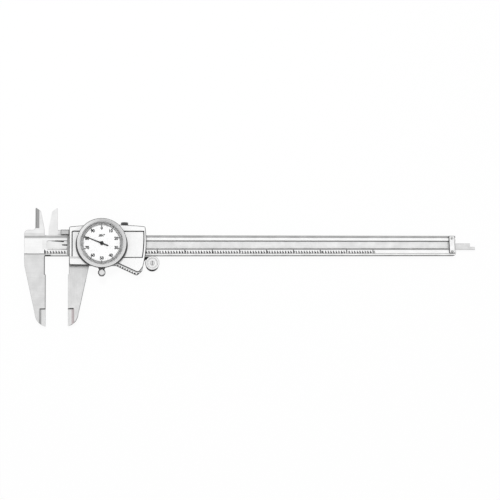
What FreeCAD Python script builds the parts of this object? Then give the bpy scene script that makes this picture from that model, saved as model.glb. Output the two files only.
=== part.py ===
import FreeCAD, Part
import math
import operator
import os
import Sketcher

# Dial caliper for 0 to 300 mm, graduated in inches, lying on its back.
# +X runs along the beam, +Y towards the inside nibs and +Z out of the dial.
# Every piece is drawn with x = 0 on its own jaw's measuring face and y = 0 on the beam's lower edge.
# Its Placement then moves the middle of the fixed jaw's face to the origin.

V = FreeCAD.Vector
document = FreeCAD.newDocument("dial_caliper")

# Driving dimensions in millimetres, degrees where the name ends in _angle, or numbers of teeth.
sizes = {
    "jaw_opening": 19.84,
    "face_middle": 40.25,
    # beam
    "beam_height": 19.05,
    "beam_thick": 4.0,
    "beam_end": 384.9,
    "end_corner": 2.3,
    "margin_drop": 0.4,
    "land_low": 2.2,
    "land_high": 16.4,
    "groove_low": 5.7,
    "groove_high": 14.2,
    "groove_depth": 1.2,
    "groove_start": 0.6,
    "groove_runout": 2.0,
    "edge_bevel": 0.35,
    # jaws, the same on both sides
    "jaw_thick": 3.2,
    "jaw_depth": 63.5,
    "head_width": 19.15,
    "head_straight": 7.6,
    "head_bend": 30.0,
    "jaw_end_width": 9.2,
    "jaw_end_depth": 53.7,
    "tip_bow": 11.3,
    "relief_depth": 0.9,
    "relief_length": 17.0,
    "blade_width": 5.1,
    "blade_start": 47.5,
    "blade_thick": 1.2,
    # inside nibs, which pass each other at the middle plane
    "nib_setback": 9.4,
    "nib_top": 44.0,
    "nib_tip_width": 1.0,
    "nib_shoulder_width": 4.9,
    "nib_shoulder_top": 41.0,
    "nib_root_width": 8.2,
    "nib_root_top": 24.3,
    "nib_plane_gap": 0.05,
    "bevel_width": 3.5,
    "bevel_start": 25.6,
    "bevel_edge": 0.25,
    "bevel_hollow": 7.0,
    "arm_top": 23.9,
    "arm_lift": 0.12,
    "shoulder_corner": 3.5,
    "nib_fillet": 2.6,
    # rack in the beam's groove
    "rack_pitch": 0.79375,
    "rack_thick": 1.0,
    "rack_back": 0.95,
    "rack_fit": 0.05,
    "rack_end_margin": 3.2,
    "rack_pin_radius": 0.35,
    "rack_pin_depth": 0.5,
    "rack_spare_teeth": 4,
    # end plate
    "end_plate_length": 5.7,
    "end_plate_inset": 1.0,
    "end_plate_thick": 1.3,
    "end_plate_low": 2.3,
    "end_plate_high": 18.95,
    "end_screw_low": 3.95,
    "end_screw_high": 16.55,
    "end_screw_head": 1.15,
    "end_plate_corner": 0.8,
    "end_plate_bevel": 0.4,
    # slide body
    "running_gap": 0.1,
    "edge_gap": 0.05,
    "front_wall": 2.3,
    "slide_left": 1.3,
    "slide_right": 69.0,
    "slide_right_bow": 200.0,
    "rail_low": 9.0,
    "rail_top": 26.0,
    "thumb_tip_x": 62.2,
    "thumb_tip_depth": 18.0,
    "thumb_root_x": 43.4,
    "thumb_end_x": 66.9,
    "thumb_end_depth": 14.0,
    "thumb_tip_round": 2.4,
    "tooth_spacing": 2.4,
    "tooth_depth": 1.2,
    "tooth_width": 1.35,
    "tooth_first": 1.45,
    "thumb_teeth": 8,
    "reading_reach": 2.1,
    "reading_thick": 0.8,
    "reading_low": 1.5,
    "reading_high": 18.4,
    "block_reach": 7.75,
    "block_thick": 1.9,
    # gib strip and its screws
    "gib_height": 1.5,
    "gib_inset": 1.5,
    "gib_screw_first": 13.0,
    "gib_screw_last": 64.0,
    "gib_screw_radius": 1.0,
    "gib_screw_sunk": 0.9,
    # cover
    "cover_thick": 2.5,
    "cover_left": 1.1,
    "cover_low": 8.5,
    "cover_low_right": 9.2,
    "cover_top_left": 26.2,
    "cover_top_right": 26.6,
    "cover_right_x": 69.7,
    "cover_end_x": 67.5,
    "cover_end_depth": 10.4,
    "cover_tip_x": 63.6,
    "cover_tip_depth": 15.9,
    "cover_tip_round": 3.2,
    "cover_notch_x": 40.4,
    "cover_notch_depth": 5.0,
    "cover_step_x": 36.0,
    "cover_top_bow": 330.0,
    "cover_right_bow": 90.0,
    "cover_corner": 1.7,
    "cover_edge": 0.3,
    "cover_bevel": 0.55,
    "panel_depth": 1.0,
    "panel_slope": 0.9,
    "panel_left": 3.75,
    "panel_right_top": 68.4,
    "panel_right_low": 67.0,
    "panel_low": 1.9,
    "panel_high": 22.1,
    "panel_bow": 110.0,
    "panel_corner": 0.8,
    "cover_screw_radius": 0.8,
    "cover_screw_x_first": 6.0,
    "cover_screw_x_last": 60.0,
    "cover_screw_low": 5.6,
    "cover_screw_high": 23.7,
    # back plate
    "back_thick": 1.8,
    "back_left": 2.0,
    "back_right": 68.0,
    "back_low": 8.3,
    "back_high": 25.4,
    "back_corner": 1.5,
    "back_screw_x_first": 10.5,
    "back_screw_x_last": 48.0,
    "back_screw_x_high": 45.0,
    "back_screw_radius": 0.8,
    "back_screw_bite": 3.0,
    # depth rod
    "rod_low": 5.95,
    "rod_high": 12.05,
    "rod_thick": 1.3,
    "rod_fit": 0.06,
    "rod_left": 3.2,
    "rod_foot_length": 4.7,
    "rod_foot_height": 2.8,
    "rod_pad_length": 18.8,
    "rod_screw_first": 9.0,
    "rod_screw_last": 20.0,
    "rear_groove_depth": 1.4,
    # dial case and bezel
    "dial_x": 30.3,
    "dial_y": 10.9,
    "case_radius": 15.6,
    "case_wall": 1.0,
    "case_floor": 0.8,
    "case_height": 3.9,
    "shelf_reach": 0.8,
    "shelf_thick": 0.55,
    "cover_hole_gap": 0.2,
    "bezel_lift": 0.3,
    "bezel_fit": 0.05,
    "back_ring_thick": 0.7,
    "snap_ring_thick": 0.3,
    "snap_ring_reach": 1.1,
    "snap_ring_depth": 0.5,
    "snap_ring_side_gap": 0.05,
    "dial_gap": 0.2,
    "dial_thick": 0.4,
    "dial_radius": 20.0,
    "dial_hole": 1.0,
    "window_radius": 19.0,
    "crystal_seat": 1.15,
    "crystal_radius": 19.6,
    "crystal_thick": 0.7,
    "gasket_thick": 0.25,
    "bezel_radius": 22.6,
    "bezel_height": 4.6,
    "bezel_bevel": 0.5,
    "bezel_crest": 0.35,
    "bezel_knurl_height": 3.4,
    "bezel_step_radius": 21.4,
    "bezel_screw_circle": 20.55,
    "bezel_screw_radius": 0.4,
    "bezel_screw_head": 0.7,
    "bezel_screw_height": 0.4,
    "bezel_thread": 1.1,
    "knurl_grooves": 80,
    "knurl_depth": 0.3,
    # movement
    "rack_teeth_pinion": 16,
    "gear_module": 0.2,
    "first_gear_teeth": 40,
    "idler_pinion_teeth": 16,
    "idler_gear_teeth": 32,
    "centre_pinion_teeth": 16,
    "takeup_teeth": 48,
    "rack_arbor_reach": 9.0,
    "takeup_angle": 8.0,
    "backlash": 0.05,
    "arbor_radius": 0.6,
    "pivot_fit": 0.04,
    "gear_thick": 0.4,
    "gear_gap": 0.2,
    "pillar_radius": 1.2,
    "pillar_circle": 12.9,
    "pillar_thread": 1.2,
    "plate_head_height": 0.25,
    "plate_thick": 0.45,
    "plate_margin": 0.25,
    "hairspring_turns": 4,
    "hairspring_radius": 4.0,
    "hairspring_strip": 0.12,
    "hairspring_start": 1.2,
    "hairspring_steps": 14,
    "pointer_length": 17.6,
    "pointer_tail": 6.4,
    "pointer_width": 1.1,
    "pointer_tip_width": 0.55,
    "pointer_hub": 2.0,
    "pointer_cap_radius": 1.0,
    "pointer_cap_height": 0.25,
    "pointer_thick": 0.25,
    "pointer_lift": 0.45,
    # bezel clamp
    "clamp_drop": 26.7,
    "clamp_ear_radius": 3.0,
    "clamp_ear_width": 5.0,
    "clamp_shaft_radius": 1.2,
    "clamp_head_radius": 3.4,
    "clamp_head_height": 2.4,
    "shoe_height": 2.8,
    "shoe_lip_height": 1.7,
    "shoe_lip_thick": 0.8,
    "shoe_lip_width": 7.4,
    "shoe_gap": 0.15,
    "clamp_gap": 0.15,
    # lock screw
    "lock_x": 51.1,
    "lock_radius": 1.5,
    "lock_head_radius": 3.35,
    "lock_head_height": 2.9,
    "lock_head_lift": 0.35,
    "lock_tip_gap": 0.1,
    "shaft_fit": 0.05,
    # thumb roller
    "roller_x": 76.3,
    "roller_radius": 6.45,
    "roller_gap": 0.05,
    "roller_front": 1.8,
    "roller_back": 2.0,
    "roller_bore": 1.25,
    "roller_grooves": 40,
    "roller_dish": 0.4,
    "roller_dish_radius": 4.9,
    "roller_screw_head": 2.1,
    "roller_screw_height": 0.7,
    "roller_arm_thick": 1.2,
    "roller_arm_left": 54.0,
    "roller_arm_drop": 6.6,
    "roller_arm_neck": 2.6,
    "roller_arm_gap": 0.3,
    "roller_boss": 2.7,
    "roller_arm_screw_first": 57.5,
    "roller_arm_screw_last": 65.5,
    # small screws and knobs
    "case_screw_radius": 0.6,
    "case_screw_head": 1.1,
    "window_hole_radius": 2.2,
    "knob_grooves": 24,
    "knob_knurl": 0.3,
    "screw_head_radius": 1.6,
    "screw_head_height": 0.8,
    "screw_slot": 0.4,
    "screw_slot_depth": 0.35,
}

sheet = document.addObject("Spreadsheet::Sheet", "Sizes")
for row, (name, value) in enumerate(sizes.items(), start=1):
    sheet.set(f"A{row}", name)
    sheet.set(f"B{row}", str(value))
    sheet.setAlias(f"B{row}", name)
document.recompute()


class Size:
    """A number together with the sheet expression that gives it."""

    def __init__(self, value, text):
        self.value = value
        self.text = text

    def __add__(self, other):
        return joined(self, operator.add, "+", other)

    def __radd__(self, other):
        return joined(other, operator.add, "+", self)

    def __sub__(self, other):
        return joined(self, operator.sub, "-", other)

    def __rsub__(self, other):
        return joined(other, operator.sub, "-", self)

    def __mul__(self, other):
        return joined(self, operator.mul, "*", other)

    def __rmul__(self, other):
        return joined(other, operator.mul, "*", self)

    def __truediv__(self, other):
        return joined(self, operator.truediv, "/", other)

    def __neg__(self):
        return joined(0, operator.sub, "-", self)


def joined(left, work, sign, right):
    left, right = as_size(left), as_size(right)
    return Size(work(left.value, right.value), f"({left.text} {sign} {right.text})")


def as_size(given):
    return given if isinstance(given, Size) else Size(float(given), repr(float(given)))


def number(given):
    return as_size(given).value


def root(size):
    return Size(math.sqrt(size.value), f"sqrt({size.text})")


class Sheet:
    """Reads a driving dimension from the spreadsheet by its name."""

    def __getattr__(self, name):
        return Size(float(sheet.get(name)), f"Sizes.{name}")


S = Sheet()

# Levels above and below the beam's middle plane.
beam_front = S.beam_thick / 2
margin_front = beam_front - S.margin_drop
jaw_front = S.jaw_thick / 2
groove_floor = beam_front - S.groove_depth
wall_back = beam_front + S.running_gap
wall_front = wall_back + S.front_wall
cover_front = wall_front + S.cover_thick
back_inner = -(beam_front + S.running_gap)
back_outer = back_inner - S.back_thick
rear_groove_floor = -(beam_front - S.rear_groove_depth)
case_floor_top = wall_front + S.case_floor
case_top = wall_front + S.case_height
bezel_low = cover_front + S.bezel_lift
ring_top = bezel_low + S.back_ring_thick
dial_low = case_top + S.dial_gap
dial_top = dial_low + S.dial_thick
crystal_low = dial_top + S.crystal_seat
bezel_top = bezel_low + S.bezel_height

# Gears lie in three layers between the case's floor and the upper plate.
layer_step = S.gear_thick + S.gear_gap
layer_first = case_floor_top + S.gear_gap
layer_second = layer_first + layer_step
layer_third = layer_second + layer_step
plate_low = case_top - S.plate_margin - S.plate_thick
plate_top = plate_low + S.plate_thick

# Teeth: pressure angle, and heights above and below the pitch line in modules.
pressure = math.radians(20)
gear_rise, gear_fall, rack_rise = 0.92, 1.2, 0.95
rack_module = S.rack_pitch / math.pi
pinion_radius = rack_module * S.rack_teeth_pinion / 2
rack_line = S.groove_low + S.rack_fit + S.rack_back + rack_module
rack_arbor_y = rack_line + pinion_radius
gib_low = S.beam_height + S.edge_gap
gib_high = gib_low + S.gib_height
rail_under = gib_high + S.edge_gap
roller_y = -(S.roller_radius + S.roller_gap)
clamp_y = S.dial_y - S.clamp_drop

# Directions in degrees of what is set round the dial's centre.
case_screw_angles = (60, 120, 270)
pillar_angles = (90, 235, 315)
bezel_screw_angles = (30, 150, 270)
window_angles = (110, 280)

pieces = []


def add_piece(piece, label):
    piece.Label = label
    pieces.append(piece)
    return piece


def new_body(label, on_slide=False, x=0, y=0, z=0):
    """A body placed from the fixed face, or from the moving one, shifted by x, y and z."""
    body = document.addObject("PartDesign::Body", label)
    shift = (S.jaw_opening if on_slide else as_size(0)) + x
    body.setExpression("Placement.Base.x", shift.text)
    body.setExpression("Placement.Base.y", (S.face_middle + y).text)
    body.setExpression("Placement.Base.z", as_size(z).text)
    return add_piece(body, label)


def new_feature(label, shape, on_slide=False, x=0, y=0, z=0):
    """A piece whose shape is worked out here, placed as a body is."""
    feature = document.addObject("Part::Feature", label)
    feature.Shape = shape
    shift = (S.jaw_opening if on_slide else as_size(0)) + x
    feature.Placement = FreeCAD.Placement(
        V(shift.value, number(S.face_middle + y), number(z)), FreeCAD.Rotation()
    )
    return add_piece(feature, label)


def new_sketch(body, plane="XY", level=0):
    """A sketch on one of the body's own planes, raised along the plane's normal."""
    sketch = body.newObject("Sketcher::SketchObject", f"{body.Name}_sketch")
    planes = [p for p in body.Origin.OriginFeatures if p.Role == f"{plane}_Plane"]
    sketch.AttachmentSupport = [(planes[0], "")]
    sketch.MapMode = "FlatFace"
    sketch.setExpression("AttachmentOffset.Base.z", as_size(level).text)
    return sketch


def hold(sketch, constraint, size):
    index = sketch.addConstraint(constraint)
    if isinstance(size, Size):
        sketch.setExpression(f"Constraints[{index}]", size.text)


def hold_point(sketch, edge, end, x, y):
    hold(sketch, Sketcher.Constraint("DistanceX", -1, 1, edge, end, number(x)), x)
    hold(sketch, Sketcher.Constraint("DistanceY", -1, 1, edge, end, number(y)), y)


def outward_arc(start, end, radius):
    """The arc from start to end that turns left and bulges to the right."""
    chord = end.sub(start)
    half = chord.Length / 2
    left = V(-chord.y, chord.x, 0).normalize()
    centre = start + chord * 0.5 + left * math.sqrt(radius * radius - half * half)
    circle = Part.Circle(centre, V(0, 0, 1), radius)
    return Part.ArcOfCircle(circle, circle.parameter(start), circle.parameter(end))


def outline(sketch, corners, bows=None):
    """A closed outline, counter-clockwise. A corner is (x, y) or (x, y, rounding).

    bows gives the radius of the outward arc that leaves a corner, by the corner's number.
    """
    bows = bows or {}
    count = len(corners)
    points = [V(number(c[0]), number(c[1]), 0) for c in corners]
    edges = []
    for i in range(count):
        start, end = points[i], points[(i + 1) % count]
        if i in bows:
            edges.append(outward_arc(start, end, number(bows[i])))
        else:
            edges.append(Part.LineSegment(start, end))
    sketch.addGeometry(edges, False)
    for i in range(count):
        sketch.addConstraint(Sketcher.Constraint("Coincident", i, 2, (i + 1) % count, 1))
    for i, corner in enumerate(corners):
        hold_point(sketch, i, 1, corner[0], corner[1])
    for i, radius in bows.items():
        hold(sketch, Sketcher.Constraint("Radius", i, number(radius)), radius)
    for i, corner in enumerate(corners):
        if len(corner) == 3:
            round_corner(sketch, i, corner[2])
    return sketch


def round_corner(sketch, edge, radius):
    """Rounds the corner where the edge starts and ties the rounding's radius to its size."""
    before = sketch.GeometryCount
    sketch.fillet(edge, 1, number(radius), True, True)
    for index in range(before, sketch.GeometryCount):
        if isinstance(sketch.Geometry[index], Part.ArcOfCircle):
            hold(sketch, Sketcher.Constraint("Radius", index, number(radius)), radius)


def circles(sketch, centres, radius):
    for x, y in centres:
        circle = Part.Circle(V(number(x), number(y), 0), V(0, 0, 1), number(radius))
        index = sketch.addGeometry(circle, False)
        hold_point(sketch, index, 3, x, y)
        hold(sketch, Sketcher.Constraint("Radius", index, number(radius)), radius)
    return sketch


def rectangle(x_low, y_low, x_high, y_high):
    return [(x_low, y_low), (x_high, y_low), (x_high, y_high), (x_low, y_high)]


def volume(body):
    document.recompute()
    return body.Shape.Volume if body.Tip else 0.0


def pad(body, sketch, length, backward=False):
    feature = body.newObject("PartDesign::Pad", f"{body.Name}_pad")
    feature.Profile = sketch
    feature.setExpression("Length", as_size(length).text)
    feature.Reversed = backward
    document.recompute()
    return feature


def cut(body, sketch, length, along_normal=False):
    """Cuts against the sketch's normal, or along it, and makes sure that something went."""
    before = volume(body)
    feature = body.newObject("PartDesign::Pocket", f"{body.Name}_cut")
    feature.Profile = sketch
    feature.setExpression("Length", as_size(length).text)
    feature.Reversed = along_normal
    if volume(body) >= before:
        raise RuntimeError(f"a cut in {body.Label} removed nothing")
    return feature


def cut_through(body, sketch):
    before = volume(body)
    feature = body.newObject("PartDesign::Pocket", f"{body.Name}_through")
    feature.Profile = sketch
    feature.Type = "ThroughAll"
    feature.Midplane = True
    if volume(body) >= before:
        raise RuntimeError(f"a through cut in {body.Label} removed nothing")
    return feature


def revolve(body, corners, bows=None):
    """A solid of revolution about the body's own z axis, from a profile of (radius, level)."""
    sketch = outline(new_sketch(body, "XZ"), corners, bows)
    feature = body.newObject("PartDesign::Revolution", f"{body.Name}_turned")
    feature.Profile = sketch
    feature.ReferenceAxis = (sketch, ["V_Axis"])
    feature.Angle = 360
    document.recompute()
    return feature


def polar_pattern(body, feature, count):
    """Repeats a cut round the body's own z axis."""
    pattern = body.newObject("PartDesign::PolarPattern", f"{body.Name}_round")
    pattern.Originals = [feature]
    axes = [a for a in body.Origin.OriginFeatures if a.Role == "Z_Axis"]
    pattern.Axis = (axes[0], [""])
    pattern.Angle = 360
    pattern.setExpression("Occurrences", as_size(count).text)
    body.Tip = pattern
    document.recompute()
    return pattern


def vertical_edges(body, wanted):
    """Names of the body's vertical edges for which wanted(x, y) is true."""
    names = []
    for index, edge in enumerate(body.Shape.Edges, start=1):
        ends = [v.Point for v in edge.Vertexes]
        straight = len(ends) == 2 and (ends[0] - ends[1]).cross(V(0, 0, 1)).Length < 1e-6
        if straight and wanted(ends[0].x - body.Placement.Base.x, ends[0].y - body.Placement.Base.y):
            names.append(f"Edge{index}")
    return names


# Jaws and nibs.


def jaw_side(face_x, side):
    """Corners from the relief down the measuring face and round the tip to the root.

    side is -1 for the fixed jaw, which lies left of its face, and 1 for the moving one.
    """
    return [
        (face_x + side * S.relief_depth, S.land_low),
        (face_x + side * S.relief_depth, -(S.relief_length - S.relief_depth)),
        (face_x, -S.relief_length),
        (face_x, -S.jaw_depth),
        (face_x + side * S.jaw_end_width, -S.jaw_end_depth),
        (face_x + side * S.head_width, -S.head_straight, S.head_bend),
    ]


def nib_side(face_x, side):
    """Corners from the nib's tip down its back edge to its root, seen from its measuring edge."""
    edge = face_x - S.nib_setback
    return [
        (edge, S.nib_top),
        (edge + side * S.nib_tip_width, S.nib_top),
        (edge + side * S.nib_shoulder_width, S.nib_shoulder_top),
        (edge + side * S.nib_root_width, S.nib_root_top),
    ]


def thin_blade(body, face_x, side):
    """Thins the jaw's tip from the front and the back to the blade's thickness."""
    inner = face_x + side * S.blade_width
    outer = face_x - side * S.blade_width
    low, high = (inner, outer) if side < 0 else (outer, inner)
    for front in (True, False):
        level = S.blade_thick / 2 if front else -(S.blade_thick / 2)
        sketch = new_sketch(body, "XY", level)
        outline(sketch, rectangle(low, -(S.jaw_depth + S.blade_width), high, -S.blade_start))
        cut(body, sketch, S.jaw_thick, along_normal=front)


def fixed_bevel(body):
    """Grinds the fixed nib's front hollow towards its measuring edge."""
    edge = -S.nib_setback
    thin = S.nib_plane_gap + S.bevel_edge
    above = jaw_front + S.jaw_thick
    corners = [
        (edge + S.bevel_width, jaw_front),
        (edge + S.bevel_width, above),
        (edge - S.bevel_width, above),
        (edge - S.bevel_width, thin),
        (edge, thin),
    ]
    sketch = outline(new_sketch(body, "XZ", -S.bevel_start), corners, {4: S.bevel_hollow})
    cut(body, sketch, S.nib_top)


def break_long_edges(body):
    """Breaks the beam's two long front edges, right of the fixed jaw."""
    sketch = new_sketch(body, "YZ", 0)
    bevel, edges = S.edge_bevel, 0
    around = ((0, -bevel), (bevel, 0), (0, bevel), (-bevel, 0))
    for edge_y in (as_size(0), S.beam_height):
        edges = add_loop(sketch, [(edge_y + y, margin_front + z) for y, z in around], edges)
    cut(body, sketch, S.beam_end, along_normal=True)


def make_beam():
    """The beam with the fixed jaw below it and the fixed nib above, ground from one bar."""
    body = new_body("beam")
    thick = S.jaw_thick
    fixed = as_size(0)
    jaw = jaw_side(fixed, -1)
    nib = nib_side(fixed, 1)
    corners = [jaw[3], jaw[2], jaw[1], jaw[0]]
    corners += [(-(S.nib_setback - S.nib_root_width), S.land_high), nib[3], nib[2], nib[1], nib[0]]
    corners += [(-S.nib_setback, S.arm_top, S.nib_fillet)]
    corners += [(-S.head_width, S.arm_top, S.shoulder_corner), jaw[5], jaw[4]]
    sketch = outline(new_sketch(body, "XY", -jaw_front), corners, {len(corners) - 1: S.tip_bow})
    pad(body, sketch, thick)
    bar = [
        (-S.head_width, 0),
        (S.beam_end, 0, S.end_corner),
        (S.beam_end, S.beam_height),
        (-S.head_width, S.beam_height),
    ]
    pad(body, outline(new_sketch(body, "XY", -beam_front), bar), beam_front + margin_front)
    land = [
        (-S.head_width, S.land_low),
        (S.beam_end, S.land_low),
        (S.beam_end, S.land_high),
        (-S.head_width, S.land_high),
    ]
    pad(body, outline(new_sketch(body, "XY", 0), land), beam_front)
    upper = rectangle(-(S.head_width + 1), S.beam_height, S.relief_depth, S.nib_top + 1)
    cut(body, outline(new_sketch(body, "XY", 0), upper), S.jaw_thick)
    over = S.beam_end + 1
    groove = [
        (S.groove_start, S.groove_low, S.groove_runout),
        (over, S.groove_low),
        (over, S.groove_high),
        (S.groove_start, S.groove_high, S.groove_runout),
    ]
    cut(body, outline(new_sketch(body, "XY", groove_floor), groove), S.beam_thick, along_normal=True)
    rod_space = rectangle(
        S.rod_left - 1, S.rod_low - S.rod_fit, over, S.rod_high + S.rod_fit
    )
    cut(body, outline(new_sketch(body, "XY", rear_groove_floor), rod_space), S.beam_thick)
    thin_blade(body, fixed, -1)
    fixed_bevel(body)
    break_long_edges(body)
    screw_x = S.beam_end - S.end_plate_inset - S.end_plate_length / 2
    holes = [(screw_x, S.end_screw_low), (screw_x, S.end_screw_high)]
    cut_through(body, circles(new_sketch(body, "XY", 0), holes, S.back_screw_radius))
    pins = circles(new_sketch(body, "XY", groove_floor), rack_pin_places(), S.rack_pin_radius)
    cut(body, pins, S.rack_pin_depth)
    return body


def rack_ends():
    """First and last x of the rack strip, which fills the groove to the end plate."""
    return S.groove_start + S.groove_runout, S.beam_end - S.end_plate_inset


def rack_pin_places():
    first, last = rack_ends()
    across = S.groove_low + S.rack_fit + S.rack_back / 2
    return [(first + S.rack_end_margin, across), (last - S.end_plate_length - S.rack_end_margin, across)]


def rack_tooth_start():
    """x of the first rack tooth's middle, a little before the pinion's place when the jaws are shut."""
    return number(rack_arbor_x() - S.rack_spare_teeth * S.rack_pitch)


def rack_arbor_x():
    """x of the rack pinion's arbor from the moving face."""
    rise = rack_arbor_y - S.dial_y
    return S.dial_x - root(S.rack_arbor_reach * S.rack_arbor_reach - rise * rise)


def make_rack():
    """A strip with straight-sided teeth that point up the groove to the pinion."""
    pitch = number(S.rack_pitch)
    module = number(rack_module)
    slope = math.tan(pressure)
    back = number(S.groove_low + S.rack_fit)
    line = number(rack_line)
    tip_height = rack_rise * module
    half = (pitch - number(S.backlash)) / 4
    tip_half = half - tip_height * slope
    gap_depth = (pitch / 2 - half) / slope
    first, last = (number(end) for end in rack_ends())
    start = rack_tooth_start()
    count = int((last - number(S.end_plate_length) - start) / pitch)
    points = [V(last, back, 0), V(last, line - gap_depth, 0)]
    for tooth in reversed(range(count)):
        middle = start + tooth * pitch
        points.append(V(middle + pitch / 2, line - gap_depth, 0))
        points.append(V(middle + tip_half, line + tip_height, 0))
        points.append(V(middle - tip_half, line + tip_height, 0))
    points.append(V(start - pitch / 2, line - gap_depth, 0))
    points.append(V(first, line - gap_depth, 0))
    points.append(V(first, back, 0))
    face = Part.Face(Part.makePolygon(points + points[:1]))
    strip = face.extrude(V(0, 0, number(S.rack_thick)))
    for x, y in rack_pin_places():
        hole = Part.makeCylinder(number(S.rack_pin_radius), number(S.rack_thick), V(number(x), number(y), 0))
        strip = strip.cut(hole)
    return new_feature("rack", strip, z=groove_floor)


def make_rack_pins():
    radius = number(S.rack_pin_radius)
    length = number(S.rack_thick + S.rack_pin_depth)
    pins = [
        Part.makeCylinder(radius, length, V(number(x), number(y), -number(S.rack_pin_depth)))
        for x, y in rack_pin_places()
    ]
    return new_feature("rack_pins", Part.makeCompound(pins), z=groove_floor)


def make_end_plate():
    """The stop plate across the beam's end."""
    body = new_body("end_plate")
    right = S.beam_end - S.end_plate_inset
    left = right - S.end_plate_length
    corner = S.end_plate_corner
    corners = [
        (left, S.end_plate_low, corner),
        (right, S.end_plate_low, corner),
        (right, S.end_plate_high, corner),
        (left, S.end_plate_high, corner),
    ]
    pad(body, outline(new_sketch(body, "XY", beam_front), corners), S.end_plate_thick)
    bevel_edges(body, S.end_plate_bevel, beam_front + S.end_plate_thick)
    middle = (left + right) / 2
    holes = [(middle, S.end_screw_low), (middle, S.end_screw_high)]
    cut_through(body, circles(new_sketch(body, "XY", beam_front), holes, S.back_screw_radius))
    return body


# Small fasteners.


def screw(shank_radius, length, head_radius, head_height):
    """A slotted screw along -z with its head's face at z = 0; length is taken over all."""
    shank, length = number(shank_radius), number(length)
    head, height = number(head_radius), number(head_height)
    solid = Part.makeCylinder(head, height, V(0, 0, -height))
    solid = solid.fuse(Part.makeCylinder(shank, length - height, V(0, 0, -length)))
    width, depth = head / 4, height / 2
    return solid.cut(Part.makeBox(2 * head, width, depth, V(-head, -width / 2, -depth)))


def screw_group(label, places, level, shape, facing=1, on_slide=True):
    """Equal screws at (x, y) places, with their heads facing +z, or -z where facing is -1."""
    group = []
    for x, y in places:
        one = shape.copy()
        if facing < 0:
            one.rotate(V(0, 0, 0), V(1, 0, 0), 180)
        one.translate(V(number(x), number(y), number(level)))
        group.append(one)
    return new_feature(label, Part.makeCompound(group), on_slide=on_slide)


def make_end_plate_screws():
    x = S.beam_end - S.end_plate_inset - S.end_plate_length / 2
    level = beam_front + S.end_plate_thick + S.screw_head_height
    shape = screw(S.back_screw_radius, level - rear_groove_floor, S.end_screw_head, S.screw_head_height)
    return screw_group(
        "end_plate_screws", [(x, S.end_screw_low), (x, S.end_screw_high)], level, shape, on_slide=False
    )


# Slide body.


def thumb_rest_corners():
    """The finger rest below the lower rail, from its root to the slide's right edge."""
    return [
        (S.thumb_root_x, -S.rail_low),
        (S.thumb_tip_x, -S.thumb_tip_depth, S.thumb_tip_round),
        (S.thumb_end_x, -S.thumb_end_depth),
        (S.slide_right, -S.edge_gap),
    ]


def make_slide_body():
    """The channel that runs on the beam, with the moving jaw, the moving nib and the thumb rest."""
    body = new_body("slide_body", on_slide=True)
    wall = [(S.slide_left, -S.rail_low)] + thumb_rest_corners()[:3]
    wall += [(S.slide_right, S.rail_top), (S.slide_left, S.rail_top - S.cover_edge)]
    bows = {len(wall) - 3: S.slide_right_bow, len(wall) - 2: S.cover_top_bow}
    pad(body, outline(new_sketch(body, "XY", wall_back), wall, bows), S.front_wall)
    low_rail = [(S.relief_depth, -S.rail_low)] + thumb_rest_corners()
    low_rail += [(S.relief_depth, -S.edge_gap)]
    pad(body, outline(new_sketch(body, "XY", back_inner), low_rail), wall_back - back_inner)
    top_rail = [
        (S.slide_left, rail_under),
        (S.slide_right - S.cover_edge, rail_under),
        (S.slide_right - S.cover_edge, S.rail_top),
        (S.slide_left, S.rail_top - S.cover_edge),
    ]
    pad(
        body,
        outline(new_sketch(body, "XY", back_inner), top_rail, {2: S.cover_top_bow}),
        wall_back - back_inner,
    )
    jaw = jaw_side(as_size(0), 1)
    jaw_outline = [(S.relief_depth, -S.edge_gap)] + jaw[1:5] + [jaw[5], (S.head_width, -S.edge_gap)]
    sketch = outline(new_sketch(body, "XY", -jaw_front), jaw_outline, {3: S.tip_bow})
    pad(body, sketch, S.jaw_thick)
    nib = nib_side(as_size(0), -1)
    arm_low = S.beam_height + S.arm_lift
    upper = [(-(S.nib_setback + S.nib_root_width), arm_low)]
    upper += [(S.slide_left, arm_low), (S.slide_left, rail_under), (S.slide_left + S.gib_inset, rail_under)]
    upper += [(S.slide_left + S.gib_inset, S.arm_top), (-S.nib_setback, S.arm_top)] + nib
    sketch = outline(new_sketch(body, "XY", -jaw_front), upper)
    pad(body, sketch, jaw_front - S.nib_plane_gap)
    block_low = jaw_front + S.nib_plane_gap
    block = rectangle(
        S.slide_left - S.block_reach, arm_low, S.slide_left + S.gib_inset, S.arm_top
    )
    pad(body, outline(new_sketch(body, "XY", block_low), block), S.block_thick)
    reading = [
        (S.slide_left - S.reading_reach, wall_back),
        (S.slide_left + S.gib_inset, wall_back),
        (S.slide_left + S.gib_inset, wall_back + S.front_wall),
        (S.slide_left, wall_back + S.front_wall),
        (S.slide_left - S.reading_reach, wall_back + S.reading_thick / 2),
    ]
    sketch = outline(new_sketch(body, "XZ", -S.reading_low), reading)
    pad(body, sketch, S.reading_high - S.reading_low, backward=True)
    thin_blade(body, as_size(0), 1)
    moving_bevel(body)
    clamp_ear(body)
    slide_holes(body)
    thumb_teeth(body)
    return body


def moving_bevel(body):
    """The moving nib is ground on its back, away from the fixed nib."""
    edge = -S.nib_setback
    back = -jaw_front
    thin = -(S.nib_plane_gap + S.bevel_edge)
    corners = [
        (edge - S.bevel_width, back),
        (edge - S.bevel_width, back - S.jaw_thick),
        (edge + S.bevel_width, back - S.jaw_thick),
        (edge + S.bevel_width, thin),
        (edge, thin),
    ]
    sketch = outline(new_sketch(body, "XZ", -S.bevel_start), corners, {4: S.bevel_hollow})
    cut(body, sketch, S.nib_top)


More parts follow.
